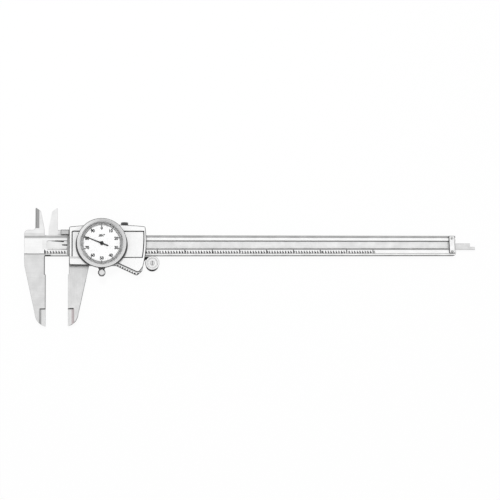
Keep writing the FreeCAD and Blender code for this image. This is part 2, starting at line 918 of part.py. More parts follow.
def clamp_ear(body):
    """A round-ended ear under the dial for the bezel's clamp screw."""
    half = S.clamp_ear_width / 2
    end = clamp_y - S.clamp_ear_radius
    corners = [
        (S.dial_x - half, end, S.cover_corner),
        (S.dial_x + half, end, S.cover_corner),
        (S.dial_x + half, -S.rail_low + S.edge_gap),
        (S.dial_x - half, -S.rail_low + S.edge_gap),
    ]
    pad(body, outline(new_sketch(body, "XY", wall_back), corners), S.front_wall)
    hole = [(S.dial_x, clamp_y)]
    cut_through(body, circles(new_sketch(body, "XY", wall_back), hole, S.clamp_shaft_radius + S.shaft_fit))


def cover_screw_places():
    return [
        (S.cover_screw_x_first, -S.cover_screw_low),
        (S.cover_screw_x_last, -S.cover_screw_low),
        (S.cover_screw_x_first, S.cover_screw_high),
        (S.cover_screw_x_last, S.cover_screw_high),
    ]


def back_screw_places():
    return [
        (S.back_screw_x_first, -S.cover_screw_low),
        (S.back_screw_x_last, -S.cover_screw_low),
        (S.back_screw_x_first, S.cover_screw_high),
        (S.back_screw_x_high, S.cover_screw_high),
    ]


def roller_arm_places():
    middle = -S.roller_arm_drop / 2 - S.roller_arm_thick / 2
    return [(S.roller_arm_screw_first, middle), (S.roller_arm_screw_last, middle)]


def round_places(radius, angles):
    """Places on a circle about the dial's centre."""
    return [(radius * math.cos(math.radians(a)), radius * math.sin(math.radians(a))) for a in angles]


def case_screw_places():
    return round_places(number(S.pillar_circle), case_screw_angles)


def pillar_places():
    return round_places(number(S.pillar_circle), pillar_angles)


def slide_holes(body):
    arbor = [(rack_arbor_x(), rack_arbor_y)]
    opening = pinion_radius + 2 * rack_module
    cut(body, circles(new_sketch(body, "XY", wall_front), arbor, opening), S.front_wall)
    cut_through(body, circles(new_sketch(body, "XY", 0), cover_screw_places(), S.cover_screw_radius))
    sunk = circles(new_sketch(body, "XY", back_inner), cover_screw_places(), S.screw_head_radius)
    cut(body, sunk, S.screw_head_height, along_normal=True)
    threads = circles(new_sketch(body, "XY", back_inner), back_screw_places(), S.back_screw_radius)
    cut(body, threads, S.beam_thick, along_normal=True)
    threads = circles(new_sketch(body, "XY", back_inner), roller_arm_places(), S.back_screw_radius)
    cut(body, threads, S.beam_thick / 2, along_normal=True)
    case_places = [(S.dial_x + x, S.dial_y + y) for x, y in case_screw_places()]
    threads = circles(new_sketch(body, "XY", wall_front), case_places, S.case_screw_radius)
    cut(body, threads, S.front_wall / 2)
    above = S.rail_top + 2 * S.cover_corner
    lock = circles(new_sketch(body, "XZ", -above), [(S.lock_x, 0)], S.lock_radius + S.shaft_fit)
    cut(body, lock, above - gib_high, along_normal=True)
    set_screws = [(S.gib_screw_first, 0), (S.gib_screw_last, 0)]
    threads = circles(new_sketch(body, "XZ", -above), set_screws, S.gib_screw_radius)
    cut(body, threads, above - gib_high, along_normal=True)


def thumb_teeth(body):
    """Notches in the front of the thumb rest's slanted edge, down to the rail behind."""
    run_x = S.thumb_tip_x - S.thumb_root_x
    run_y = S.rail_low - S.thumb_tip_depth
    length = root(run_x * run_x + run_y * run_y)
    along_x, along_y = run_x / length, run_y / length
    half, deep = S.tooth_width / 2, S.tooth_depth
    notch = [(half, deep), (half / 2, -deep), (-half, -deep), (-half, deep)]
    sketch = new_sketch(body, "XY", wall_front)
    edges = 0
    for tooth in range(int(number(S.thumb_teeth))):
        run = S.tooth_first + S.tooth_spacing * tooth
        corners = []
        for step, out in notch:
            x = S.thumb_root_x + along_x * (run + step) + along_y * out
            y = -S.rail_low + along_y * (run + step) - along_x * out
            corners.append((x, y))
        edges = add_loop(sketch, corners, edges)
    cut(body, sketch, S.front_wall)


def add_loop(sketch, corners, first):
    """Adds a straight-sided loop to a sketch whose next edge has the number first."""
    count = len(corners)
    points = [V(number(x), number(y), 0) for x, y in corners]
    lines = [Part.LineSegment(points[i], points[(i + 1) % count]) for i in range(count)]
    sketch.addGeometry(lines, False)
    for i, (x, y) in enumerate(corners):
        following = first + (i + 1) % count
        sketch.addConstraint(Sketcher.Constraint("Coincident", first + i, 2, following, 1))
        hold_point(sketch, first + i, 1, x, y)
    return first + count


# Cover, back plate and gib.


def make_cover():
    """The pale front cover: a bowed plate with a sunk panel and a round hole for the dial's case."""
    body = new_body("slide_cover", on_slide=True)
    corners = [
        (S.cover_left, -S.cover_low, S.cover_corner),
        (S.cover_step_x, -S.cover_low_right),
        (S.cover_notch_x, -S.cover_notch_depth),
        (S.cover_tip_x, -S.cover_tip_depth, S.cover_tip_round),
        (S.cover_end_x, -S.cover_end_depth),
        (S.cover_right_x, S.cover_top_right),
        (S.cover_left, S.cover_top_left),
    ]
    bows = {4: S.cover_right_bow, 5: S.cover_top_bow}
    pad(body, outline(new_sketch(body, "XY", wall_front), corners, bows), S.cover_thick)
    high, right = number(S.rail_top), number(S.thumb_end_x)
    round_edges(body, S.cover_corner, lambda x, y: y > high or (x > right and y < 0))
    bevel_edges(body, S.cover_bevel, cover_front)
    inset = S.panel_slope / 2
    low, high = -S.panel_low + inset, S.panel_high - inset
    panel = [
        (S.panel_left + inset, low, S.panel_corner),
        (S.panel_right_low - inset, low),
        (S.panel_right_top - inset, high),
        (S.panel_left + inset, high, S.panel_corner),
    ]
    sketch = outline(new_sketch(body, "XY", cover_front), panel, {1: S.panel_bow})
    cut(body, sketch, S.panel_depth)
    bevel_edges(body, S.panel_slope, cover_front, in_panel)
    clear = S.case_radius + S.shelf_reach + S.cover_hole_gap
    cut_through(body, circles(new_sketch(body, "XY", wall_front), [(S.dial_x, S.dial_y)], clear))
    threads = circles(new_sketch(body, "XY", wall_front), cover_screw_places(), S.cover_screw_radius)
    cut(body, threads, S.cover_thick / 2, along_normal=True)
    return body


def in_panel(x, y):
    """Whether a place lies within the cover's sunk panel and its sloped sides."""
    across = number(S.panel_left) < x < number(S.panel_right_top)
    return across and number(-S.panel_low) < y < number(S.panel_high)


def round_edges(body, radius, wanted):
    """Rounds the vertical edges for which wanted(x, y) is true."""
    before, edges = body.Tip, vertical_edges(body, wanted)
    fillet = body.newObject("PartDesign::Fillet", f"{body.Name}_rounded")
    fillet.Base = (before, edges)
    fillet.setExpression("Radius", as_size(radius).text)
    document.recompute()
    return fillet


def bevel_edges(body, size, level, wanted=lambda x, y: True):
    """Bevels the edges that lie flat at a level and whose middle is wanted."""
    before, names = body.Tip, []
    for index, edge in enumerate(body.Shape.Edges, start=1):
        box = edge.BoundBox
        flat = max(abs(box.ZMin - number(level)), abs(box.ZMax - number(level))) < 1e-6
        middle = edge.valueAt((edge.FirstParameter + edge.LastParameter) / 2) - body.Placement.Base
        if flat and wanted(middle.x, middle.y):
            names.append(f"Edge{index}")
    bevel = body.newObject("PartDesign::Chamfer", f"{body.Name}_bevelled")
    bevel.Base = (before, names)
    bevel.setExpression("Size", as_size(size).text)
    document.recompute()
    return bevel


def make_back_plate():
    """Closes the channel behind the beam and holds the depth rod."""
    body = new_body("back_plate", on_slide=True)
    corner = S.back_corner
    notch_x = S.roller_arm_left - S.edge_gap * 2
    corners = [
        (S.back_left, -S.back_low, corner),
        (notch_x, -S.back_low),
        (notch_x, S.edge_gap),
        (S.back_right, S.edge_gap),
        (S.back_right, S.back_high, corner),
        (S.back_left, S.back_high, corner),
    ]
    pad(body, outline(new_sketch(body, "XY", back_outer), corners), S.back_thick)
    places = back_screw_places()
    cut_through(body, circles(new_sketch(body, "XY", back_outer), places, S.back_screw_radius))
    sunk = circles(new_sketch(body, "XY", back_outer), places, S.screw_head_radius)
    cut(body, sunk, S.screw_head_height, along_normal=True)
    cut_through(body, circles(new_sketch(body, "XY", back_outer), rod_screw_places(), S.back_screw_radius))
    sunk = circles(new_sketch(body, "XY", back_outer), rod_screw_places(), S.screw_head_radius)
    cut(body, sunk, S.screw_head_height, along_normal=True)
    return body


def rod_screw_places():
    middle = (S.rod_low + S.rod_high) / 2
    return [(S.rod_screw_first, middle), (S.rod_screw_last, middle)]


def make_gib():
    """The strip between the beam's upper edge and the slide, which takes up play."""
    body = new_body("gib", on_slide=True)
    left = S.slide_left + S.gib_inset + S.edge_gap
    strip = rectangle(left, gib_low, S.slide_right - S.gib_inset, gib_high)
    half = beam_front - S.running_gap
    pad(body, outline(new_sketch(body, "XY", -half), strip), half * 2)
    return body


def make_gib_screws():
    """Slotted set screws in the top rail that bear on the gib."""
    radius = number(S.gib_screw_radius)
    top = number(S.rail_top - S.gib_screw_sunk)
    bottom = number(gib_high)
    screws = []
    for x in (S.gib_screw_first, S.gib_screw_last):
        one = Part.makeCylinder(radius, top - bottom, V(number(x), bottom, 0), V(0, 1, 0))
        width, depth = number(S.screw_slot), number(S.screw_slot_depth)
        slot = Part.makeBox(2 * radius, depth, width, V(number(x) - radius, top - depth, -width / 2))
        screws.append(one.cut(slot))
    return new_feature("gib_screws", Part.makeCompound(screws), on_slide=True)


def make_depth_rod():
    """A flat rod in the beam's rear groove, flush with the beam's end when the jaws are shut."""
    body = new_body("depth_rod", on_slide=True)
    back = -beam_front
    bar = [
        (S.rod_left, S.rod_low),
        (S.beam_end, S.rod_low),
        (S.beam_end, S.rod_low + S.rod_foot_height),
        (S.beam_end - S.rod_foot_length, S.rod_low + S.rod_foot_height),
        (S.beam_end - S.rod_foot_length, S.rod_high),
        (S.rod_left, S.rod_high),
    ]
    pad(body, outline(new_sketch(body, "XY", back), bar), S.rod_thick)
    clamped = rectangle(S.rod_left, S.rod_low, S.rod_left + S.rod_pad_length, S.rod_high)
    pad(body, outline(new_sketch(body, "XY", back_inner), clamped), S.running_gap + S.rod_thick / 2)
    cut_through(body, circles(new_sketch(body, "XY", back), rod_screw_places(), S.back_screw_radius))
    return body


def make_back_screws():
    length = S.back_thick + S.back_screw_bite
    shape = screw(S.back_screw_radius, length, S.screw_head_radius, S.screw_head_height)
    return screw_group("back_plate_screws", back_screw_places(), back_outer, shape, facing=-1)


def make_rod_screws():
    length = S.back_thick + S.running_gap + S.rod_thick
    shape = screw(S.back_screw_radius, length, S.screw_head_radius, S.screw_head_height)
    return screw_group("depth_rod_screws", rod_screw_places(), back_outer, shape, facing=-1)


def make_cover_screws():
    length = wall_front - back_inner + S.cover_thick / 2
    shape = screw(S.cover_screw_radius, length, S.screw_head_radius, S.screw_head_height)
    return screw_group("cover_screws", cover_screw_places(), back_inner, shape, facing=-1)


# Movement.


def arbor_places():
    """Each arbor's place from the dial's centre: rack arbor, idler, centre and take-up."""
    module = S.gear_module
    rack = (rack_arbor_x() - S.dial_x, rack_arbor_y - S.dial_y)
    to_rack = module * (S.first_gear_teeth + S.idler_pinion_teeth) / 2
    to_centre = module * (S.idler_gear_teeth + S.centre_pinion_teeth) / 2
    reach = S.rack_arbor_reach
    along = (reach * reach + to_centre * to_centre - to_rack * to_rack) / (2 * reach)
    across = root(to_centre * to_centre - along * along)
    unit_x, unit_y = rack[0] / reach, rack[1] / reach
    idler = (unit_x * along + unit_y * across, unit_y * along - unit_x * across)
    takeup_reach = module * (S.takeup_teeth + S.centre_pinion_teeth) / 2
    turn = math.radians(number(S.takeup_angle))
    takeup = (takeup_reach * math.cos(turn), takeup_reach * math.sin(turn))
    return {"rack": rack, "idler": idler, "centre": (as_size(0), as_size(0)), "takeup": takeup}


def make_case():
    """The round case that carries the movement; its outer wall is the bezel's bearing."""
    body = new_body("dial_case", on_slide=True, x=S.dial_x, y=S.dial_y)
    inner = S.case_radius - S.case_wall
    groove = S.case_radius - S.snap_ring_depth
    shelf_top = bezel_low - S.edge_gap
    profile = [
        (0, wall_front),
        (S.case_radius, wall_front),
        (S.case_radius, shelf_top - S.shelf_thick),
        (S.case_radius + S.shelf_reach, shelf_top - S.shelf_thick),
        (S.case_radius + S.shelf_reach, shelf_top),
        (S.case_radius, shelf_top),
        (S.case_radius, ring_top + S.snap_ring_side_gap),
        (groove, ring_top + S.snap_ring_side_gap),
        (groove, ring_top + S.snap_ring_side_gap + S.snap_ring_thick),
        (S.case_radius, ring_top + S.snap_ring_side_gap + S.snap_ring_thick),
        (S.case_radius, case_top),
        (inner, case_top),
        (inner, case_floor_top),
        (0, case_floor_top),
    ]
    revolve(body, profile)
    for place in arbor_places().values():
        pivot = circles(new_sketch(body, "XY", case_floor_top), [place], S.arbor_radius + S.pivot_fit)
        cut(body, pivot, S.case_floor)
    holes = circles(new_sketch(body, "XY", case_floor_top), case_screw_places(), S.case_screw_radius)
    cut(body, holes, S.case_floor)
    sunk = circles(new_sketch(body, "XY", case_floor_top), case_screw_places(), S.case_screw_head)
    cut(body, sunk, S.case_floor / 2)
    holes = circles(new_sketch(body, "XY", case_floor_top), pillar_places(), S.case_screw_radius)
    cut(body, holes, S.case_floor)
    return body


def make_case_screws():
    length = S.case_floor + S.front_wall / 2
    shape = screw(S.case_screw_radius, length, S.case_screw_head, S.case_floor / 2)
    places = [(S.dial_x + x, S.dial_y + y) for x, y in case_screw_places()]
    return screw_group("case_screws", places, case_floor_top, shape)


def make_upper_plate():
    """The plate over the gears, with a hole for each arbor and windows between them."""
    body = new_body("upper_plate", on_slide=True, x=S.dial_x, y=S.dial_y)
    radius = S.case_radius - S.case_wall - S.plate_margin
    pad(body, circles(new_sketch(body, "XY", plate_low), [(0, 0)], radius), S.plate_thick)
    for place in arbor_places().values():
        pivot = circles(new_sketch(body, "XY", plate_top), [place], S.arbor_radius + S.pivot_fit)
        cut(body, pivot, S.plate_thick)
    cut(body, circles(new_sketch(body, "XY", plate_top), pillar_places(), S.case_screw_radius), S.plate_thick)
    window = round_places(number(S.case_radius) / 2, window_angles)
    cut(body, circles(new_sketch(body, "XY", plate_top), window, S.window_hole_radius), S.plate_thick)
    return body


def make_pillars():
    """Three posts riveted into the case's floor, with a thread for a screw in each top."""
    foot, floor = number(wall_front), number(case_floor_top)
    top, thread = number(plate_low), number(S.pillar_thread)
    posts = []
    for x, y in pillar_places():
        post = Part.makeCylinder(number(S.pillar_radius), top - floor, V(x, y, floor))
        spigot = Part.makeCylinder(number(S.case_screw_radius), floor - foot, V(x, y, foot))
        hole = Part.makeCylinder(number(S.case_screw_radius), thread, V(x, y, top - thread))
        posts.append(post.fuse(spigot).cut(hole))
    return new_feature("plate_pillars", Part.makeCompound(posts), on_slide=True, x=S.dial_x, y=S.dial_y)


def make_plate_screws():
    length = S.plate_head_height + S.plate_thick + S.pillar_thread
    shape = screw(S.case_screw_radius, length, S.case_screw_head, S.plate_head_height)
    places = [(S.dial_x + x, S.dial_y + y) for x, y in pillar_places()]
    return screw_group("upper_plate_screws", places, plate_top + S.plate_head_height, shape)


def involute(angle):
    return math.tan(angle) - angle


def gear_face(teeth, module, turn):
    """The outline of a spur gear; a tooth is centred at the angle turn."""
    teeth, module = int(round(number(teeth))), number(module)
    pitch = teeth * module / 2
    base = pitch * math.cos(pressure)
    tip, foot = pitch + gear_rise * module, pitch - gear_fall * module
    thickness = math.pi * module / 2 - number(S.backlash) / 2
    at_pitch = thickness / (2 * pitch) + involute(pressure)
    half_tip = at_pitch - involute(math.acos(base / tip))
    half_foot = at_pitch - (involute(math.acos(base / foot)) if foot > base else 0)
    points = []
    for tooth in range(teeth):
        middle = turn + tooth * 2 * math.pi / teeth
        for radius, offset in ((foot, -half_foot), (tip, -half_tip), (tip, half_tip), (foot, half_foot)):
            points.append(V(radius * math.cos(middle + offset), radius * math.sin(middle + offset), 0))
    return Part.Face(Part.makePolygon(points + points[:1]))


def gear(teeth, module, turn, level, thick):
    face = gear_face(teeth, module, turn)
    face.translate(V(0, 0, number(level)))
    return face.extrude(V(0, 0, number(thick)))


def meshed_turn(driver_teeth, driver_turn, teeth, line_angle):
    """The angle of a gear in mesh with another, which lies at line_angle from the other."""
    driver_pitch, pitch = 2 * math.pi / driver_teeth, 2 * math.pi / teeth
    driver_phase = ((line_angle - driver_turn) / driver_pitch) % 1
    return line_angle + math.pi - (0.5 - driver_phase) * pitch


def direction(start, end):
    return math.atan2(number(end[1]) - number(start[1]), number(end[0]) - number(start[0]))


def gear_turns():
    """Angles at which every gear and pinion is in mesh with the jaws at their opening."""
    places = arbor_places()
    from_tooth = number(S.jaw_opening) + number(rack_arbor_x()) - rack_tooth_start()
    half_pitches = number(S.rack_pitch) / 2 - from_tooth
    turns = {"rack": -math.pi / 2 + half_pitches / number(pinion_radius)}
    meshes = (
        ("rack", S.first_gear_teeth, "idler", S.idler_pinion_teeth),
        ("idler", S.idler_gear_teeth, "centre", S.centre_pinion_teeth),
        ("centre", S.centre_pinion_teeth, "takeup", S.takeup_teeth),
    )
    for driver, driver_teeth, driven, teeth in meshes:
        line = direction(places[driver], places[driven])
        turns[driven] = meshed_turn(number(driver_teeth), turns[driver], number(teeth), line)
    return turns


def shaft(low, high):
    return Part.makeCylinder(number(S.arbor_radius), number(high) - number(low), V(0, 0, number(low)))


def on_arbor(label, shape, place):
    return new_feature(label, shape, on_slide=True, x=S.dial_x + place[0], y=S.dial_y + place[1])


def bored(solid, level, thick):
    hole = Part.makeCylinder(number(S.arbor_radius), number(thick), V(0, 0, number(level)))
    return solid.cut(hole)


def make_gears():
    places, turns = arbor_places(), gear_turns()
    foot = wall_front + S.edge_gap
    low = groove_floor + S.running_gap
    height = S.rack_thick - S.edge_gap
    pinion = gear(S.rack_teeth_pinion, rack_module, turns["rack"], low, height)
    rack_arbor = pinion.fuse(shaft(low, plate_top))
    on_arbor("rack_pinion", rack_arbor, places["rack"])
    wheel = gear(S.first_gear_teeth, S.gear_module, turns["rack"], layer_first, S.gear_thick)
    on_arbor("first_gear", bored(wheel, layer_first, S.gear_thick), places["rack"])
    pinion = gear(S.idler_pinion_teeth, S.gear_module, turns["idler"], layer_first, S.gear_thick)
    on_arbor("idler_pinion", pinion.fuse(shaft(foot, plate_top)), places["idler"])
    wheel = gear(S.idler_gear_teeth, S.gear_module, turns["idler"], layer_second, S.gear_thick)
    on_arbor("idler_gear", bored(wheel, layer_second, S.gear_thick), places["idler"])
    tall = layer_step + S.gear_thick
    pinion = gear(S.centre_pinion_teeth, S.gear_module, turns["centre"], layer_second, tall)
    top = dial_top + S.pointer_lift + S.pointer_thick
    on_arbor("centre_pinion", pinion.fuse(shaft(foot, top)), places["centre"])
    wheel = gear(S.takeup_teeth, S.gear_module, turns["takeup"], layer_third, S.gear_thick)
    on_arbor("takeup_gear", wheel.fuse(shaft(foot, plate_top)), places["takeup"])
    make_hairspring(places["takeup"])


def make_hairspring(place):
    """A flat spiral round the take-up arbor, under the plate; its outer end is pinned to the plate."""
    turns = int(number(S.hairspring_turns))
    inner = number(S.hairspring_start)
    outer = number(S.hairspring_radius)
    strip = number(S.hairspring_strip)
    steps = int(number(S.hairspring_steps)) * turns
    low = number(layer_third + S.gear_thick + S.gear_gap / 2)
    high = number(plate_low)
    width = min(high - low, number(S.gear_thick) / 2)
    sides = []
    for side in (-strip / 2, strip / 2):
        line = []
        for step in range(steps + 1):
            radius = inner + (outer - inner) * step / steps + side
            angle = 2 * math.pi * turns * step / steps
            line.append(V(radius * math.cos(angle), radius * math.sin(angle), low))
        sides.append(line)
    points = sides[0] + sides[1][::-1]
    spiral = Part.Face(Part.makePolygon(points + points[:1])).extrude(V(0, 0, width))
    stud = Part.makeCylinder(2 * strip, high - low, V(outer, 0, low))
    on_arbor("hairspring", spiral.fuse(stud), place)


def make_pointer():
    """A slim hand with a diamond hub, turned to the reading that the jaw opening gives."""
    body = new_body("pointer", on_slide=True, x=S.dial_x, y=S.dial_y)
    half = S.pointer_width / 2
    hub = S.pointer_hub
    corners = [
        (S.pointer_tip_width / 2, S.pointer_length),
        (-(S.pointer_tip_width / 2), S.pointer_length),
        (-half, hub),
        (-hub, 0),
        (-half, -hub),
        (-half, -S.pointer_tail),
        (half, -S.pointer_tail),
        (half, -hub),
        (hub, 0),
        (half, hub),
    ]
    level = dial_top + S.pointer_lift
    pad(body, outline(new_sketch(body, "XY", level), corners), S.pointer_thick)
    front = level + S.pointer_thick
    pad(body, circles(new_sketch(body, "XY", front), [(0, 0)], S.pointer_cap_radius), S.pointer_cap_height)
    cut(body, circles(new_sketch(body, "XY", front), [(0, 0)], S.arbor_radius), S.pointer_thick)
    turns = number(S.jaw_opening) / (number(S.rack_pitch) * number(S.rack_teeth_pinion)) * gear_ratio()
    body.Placement.Rotation = FreeCAD.Rotation(V(0, 0, 1), -360 * (turns % 1))
    return body


def gear_ratio():
    """Turns of the pointer for one turn of the rack pinion."""
    first = number(S.first_gear_teeth) / number(S.idler_pinion_teeth)
    second = number(S.idler_gear_teeth) / number(S.centre_pinion_teeth)
    return first * second


# Dial and bezel, which turn together on the case.


def make_snap_ring():
    """An open wire ring in the case's groove that keeps the bezel down."""
    body = new_body("snap_ring", on_slide=True, x=S.dial_x, y=S.dial_y)
    inner = S.case_radius - S.snap_ring_depth
    low = ring_top + S.snap_ring_side_gap
    profile = rectangle(inner, low, inner + S.snap_ring_reach, low + S.snap_ring_thick)
    revolve(body, profile)
    gap = rectangle(-S.snap_ring_reach, inner - 1, S.snap_ring_reach, S.case_radius + S.snap_ring_reach)
    cut_through(body, outline(new_sketch(body, "XY", low), gap))
    return body


def make_bezel_back_ring():
    """The ring screwed under the bezel: it turns on the case and carries the dial face."""
    body = new_body("bezel_back_ring", on_slide=True, x=S.dial_x, y=S.dial_y)
    bore = S.case_radius + S.bezel_fit
    step = S.case_radius + S.snap_ring_reach + S.bezel_fit
    profile = [
        (bore, bezel_low),
        (S.bezel_step_radius, bezel_low),
        (S.bezel_step_radius, dial_low),
        (step, dial_low),
        (step, ring_top),
        (bore, ring_top),
    ]
    revolve(body, profile)
    places = bezel_screw_places()
    cut_through(body, circles(new_sketch(body, "XY", bezel_low), places, S.bezel_screw_radius))
    sunk = circles(new_sketch(body, "XY", bezel_low), places, S.bezel_screw_head)
    cut(body, sunk, S.bezel_screw_height, along_normal=True)
    return body


def make_dial_face():
    """The dial's disc between the back ring and the bezel's shoulder."""
    body = new_body("dial_face", on_slide=True, x=S.dial_x, y=S.dial_y)
    revolve(body, rectangle(S.dial_hole, dial_low, S.dial_radius, dial_top))
    return body


def make_bezel():
    """The knurled bezel: a crest that slopes in to the crystal's seat, and a shoulder over the dial."""
    body = new_body("bezel", on_slide=True, x=S.dial_x, y=S.dial_y)
    outer = S.bezel_radius
    crest = outer - S.bezel_bevel
    seat = crystal_low + S.gasket_thick + S.crystal_thick
    profile = [
        (S.bezel_step_radius, bezel_low),
        (outer, bezel_low),
        (outer, bezel_top - S.bezel_bevel),
        (crest, bezel_top),
        (crest - S.bezel_crest, bezel_top),
        (S.crystal_radius, seat),
        (S.crystal_radius, crystal_low),
        (S.window_radius, crystal_low),
        (S.window_radius, dial_top),
        (S.dial_radius + S.bezel_fit, dial_top),
        (S.dial_radius + S.bezel_fit, dial_low),
        (S.bezel_step_radius, dial_low),
    ]
    revolve(body, profile)
    sketch = new_sketch(body, "XY", bezel_low)
    depth = S.knurl_depth
    notch = [(outer - depth, 0), (outer + depth, -2 * depth), (outer + depth, 2 * depth)]
    feature = cut(body, outline(sketch, notch), S.bezel_knurl_height, along_normal=True)
    polar_pattern(body, feature, S.knurl_grooves)
    threads = circles(new_sketch(body, "XY", dial_low), bezel_screw_places(), S.bezel_screw_radius)
    cut(body, threads, S.bezel_thread, along_normal=True)
    return body


def bezel_screw_places():
    return round_places(number(S.bezel_screw_circle), bezel_screw_angles)


def make_bezel_screws():
    """Three screws up through the back ring into the bezel."""
    length = dial_low - bezel_low + S.bezel_thread
    shape = screw(S.bezel_screw_radius, length, S.bezel_screw_head, S.bezel_screw_height)
    places = [(S.dial_x + x, S.dial_y + y) for x, y in bezel_screw_places()]
    return screw_group("bezel_screws", places, bezel_low, shape, facing=-1)


def make_gasket():
    body = new_body("crystal_gasket", on_slide=True, x=S.dial_x, y=S.dial_y)
    revolve(body, rectangle(S.window_radius, crystal_low, S.crystal_radius, crystal_low + S.gasket_thick))
    return body


def make_crystal():
    """The clear disc over the dial."""
    body = new_body("crystal", on_slide=True, x=S.dial_x, y=S.dial_y)
    low = crystal_low + S.gasket_thick
    revolve(body, rectangle(0, low, S.crystal_radius, low + S.crystal_thick))
    return body


# Clamp, lock and thumb roller.


def make_clamp_shoe():
    """A block on the ear with a lip that hugs the bezel's rim."""
    body = new_body("bezel_clamp_shoe", on_slide=True, x=S.dial_x, y=S.dial_y)
    half, lip = S.clamp_ear_width / 2, S.shoe_lip_width / 2
    rim = S.bezel_radius + S.shoe_gap
    end = -(S.clamp_drop + S.clamp_ear_radius)
    base = [
        (-half, end, S.cover_corner),
        (half, end, S.cover_corner),
        (half, -(rim + S.shoe_lip_thick)),
        (lip, -(rim - S.shoe_lip_thick)),
        (-lip, -(rim - S.shoe_lip_thick)),
        (-half, -(rim + S.shoe_lip_thick)),
    ]
    height = S.shoe_height + S.shoe_lip_height
    pad(body, outline(new_sketch(body, "XY", wall_front), base), height)
    head = S.clamp_head_radius + S.clamp_gap
    clear = rectangle(-S.shoe_lip_width, end - 1, S.shoe_lip_width, -(S.clamp_drop - head))
    sketch = outline(new_sketch(body, "XY", wall_front + S.shoe_height), clear)
    cut(body, sketch, S.shoe_lip_height, along_normal=True)
    cut_through(body, circles(new_sketch(body, "XY", wall_front), [(0, 0)], rim))
    hole = [(0, -S.clamp_drop)]
    cut_through(body, circles(new_sketch(body, "XY", wall_front), hole, S.clamp_shaft_radius + S.shaft_fit))
    return body


def knurled_knob(label, radius, height, grooves, depth, low, **place):
    """A round head with straight grooves round its rim."""
    body = new_body(label, **place)
    edge = depth
    top = low + height
    profile = [(0, low), (radius, low), (radius, top - edge), (radius - edge, top), (0, top)]
    revolve(body, profile)
    notch = [(radius - depth, 0), (radius + depth, -depth), (radius + depth, depth)]
    feature = cut(body, outline(new_sketch(body, "XY", low), notch), height, along_normal=True)
    polar_pattern(body, feature, grooves)
    return body


def make_clamp_screw():
    low = wall_front + S.shoe_height + S.clamp_gap
    body = knurled_knob(
        "bezel_clamp_screw", S.clamp_head_radius, S.clamp_head_height, S.knob_grooves, S.knob_knurl, low,
        on_slide=True, x=S.dial_x, y=clamp_y,
    )
    foot = wall_back + S.edge_gap
    pad(body, circles(new_sketch(body, "XY", foot), [(0, 0)], S.clamp_shaft_radius), low - foot)
    return body


def make_lock_screw():
    """The knurled screw in the top rail that presses the gib on the beam."""
    low = S.rail_top + S.cover_corner + S.lock_head_lift
    body = knurled_knob(
        "lock_screw", S.lock_head_radius, S.lock_head_height, S.knob_grooves, S.knob_knurl, 0,
        on_slide=True, x=S.lock_x, y=low,
    )
    length = low - gib_high - S.lock_tip_gap
    pad(body, circles(new_sketch(body, "XY", -length), [(0, 0)], S.lock_radius), length)
    body.Placement.Rotation = FreeCAD.Rotation(V(1, 0, 0), -90)
    return body


def make_roller():
    """The knurled thumb roller, which rolls on the beam's lower edge."""
    body = new_body("thumb_roller", on_slide=True, x=S.roller_x, y=roller_y)
    rim, front, back = S.roller_radius, S.roller_front, -S.roller_back
    edge = S.roller_dish
    profile = [
        (S.roller_bore, back),
        (rim - edge, back),
        (rim, back + edge),
        (rim, front - edge),
        (rim - edge, front),
        (S.roller_dish_radius, front),
        (S.roller_dish_radius - edge, front - edge),
        (S.roller_bore, front - edge),
    ]
    revolve(body, profile)
    depth = S.knurl_depth
    notch = [(rim - depth, 0), (rim + depth, -depth * 1.5), (rim + depth, depth * 1.5)]
    sketch = outline(new_sketch(body, "XY", back), notch)
    feature = cut(body, sketch, S.roller_back + S.roller_front, along_normal=True)
    polar_pattern(body, feature, S.roller_grooves)
    return body


def make_roller_arm():
    """The dark spring arm that carries the roller behind its rim."""
    body = new_body("roller_arm", on_slide=True)
    low = -S.roller_arm_drop
    boss = S.roller_boss
    top = -S.roller_arm_gap
    corners = [
        (S.roller_arm_left, low, S.cover_corner),
        (S.slide_right - S.gib_inset, low),
        (S.slide_right + S.gib_inset, top - S.roller_arm_neck),
        (S.roller_x - boss, roller_y - boss, boss / 2),
        (S.roller_x + boss, roller_y - boss, boss / 2),
        (S.roller_x + boss, roller_y + boss, boss / 2),
        (S.roller_x - boss / 2, top, boss / 2),
        (S.roller_arm_left, top, S.cover_corner),
    ]
    pad(body, outline(new_sketch(body, "XY", back_inner - S.roller_arm_thick), corners), S.roller_arm_thick)
    holes = roller_arm_places()
    cut_through(body, circles(new_sketch(body, "XY", back_inner), holes, S.back_screw_radius))
    axle = [(S.roller_x, roller_y)]
    cut_through(body, circles(new_sketch(body, "XY", back_inner), axle, S.roller_bore - S.shaft_fit))
    return body


def make_roller_arm_screws():
    length = S.back_thick + S.beam_thick / 2
    shape = screw(S.back_screw_radius, length, S.screw_head_radius, S.back_thick - S.roller_arm_thick)
    return screw_group("roller_arm_screws", roller_arm_places(), back_outer, shape, facing=-1)


def make_roller_screw():
    """The shoulder screw on which the roller turns."""
    head_low = S.roller_front - S.roller_dish + S.edge_gap
    level = head_low + S.roller_screw_height
    length = level - back_inner + S.roller_arm_thick
    shape = screw(S.roller_bore - S.shaft_fit, length, S.roller_screw_head, S.roller_screw_height)
    shape.rotate(V(0, 0, 0), V(0, 0, 1), 90)
    return screw_group("roller_screw", [(S.roller_x, roller_y)], level, shape)


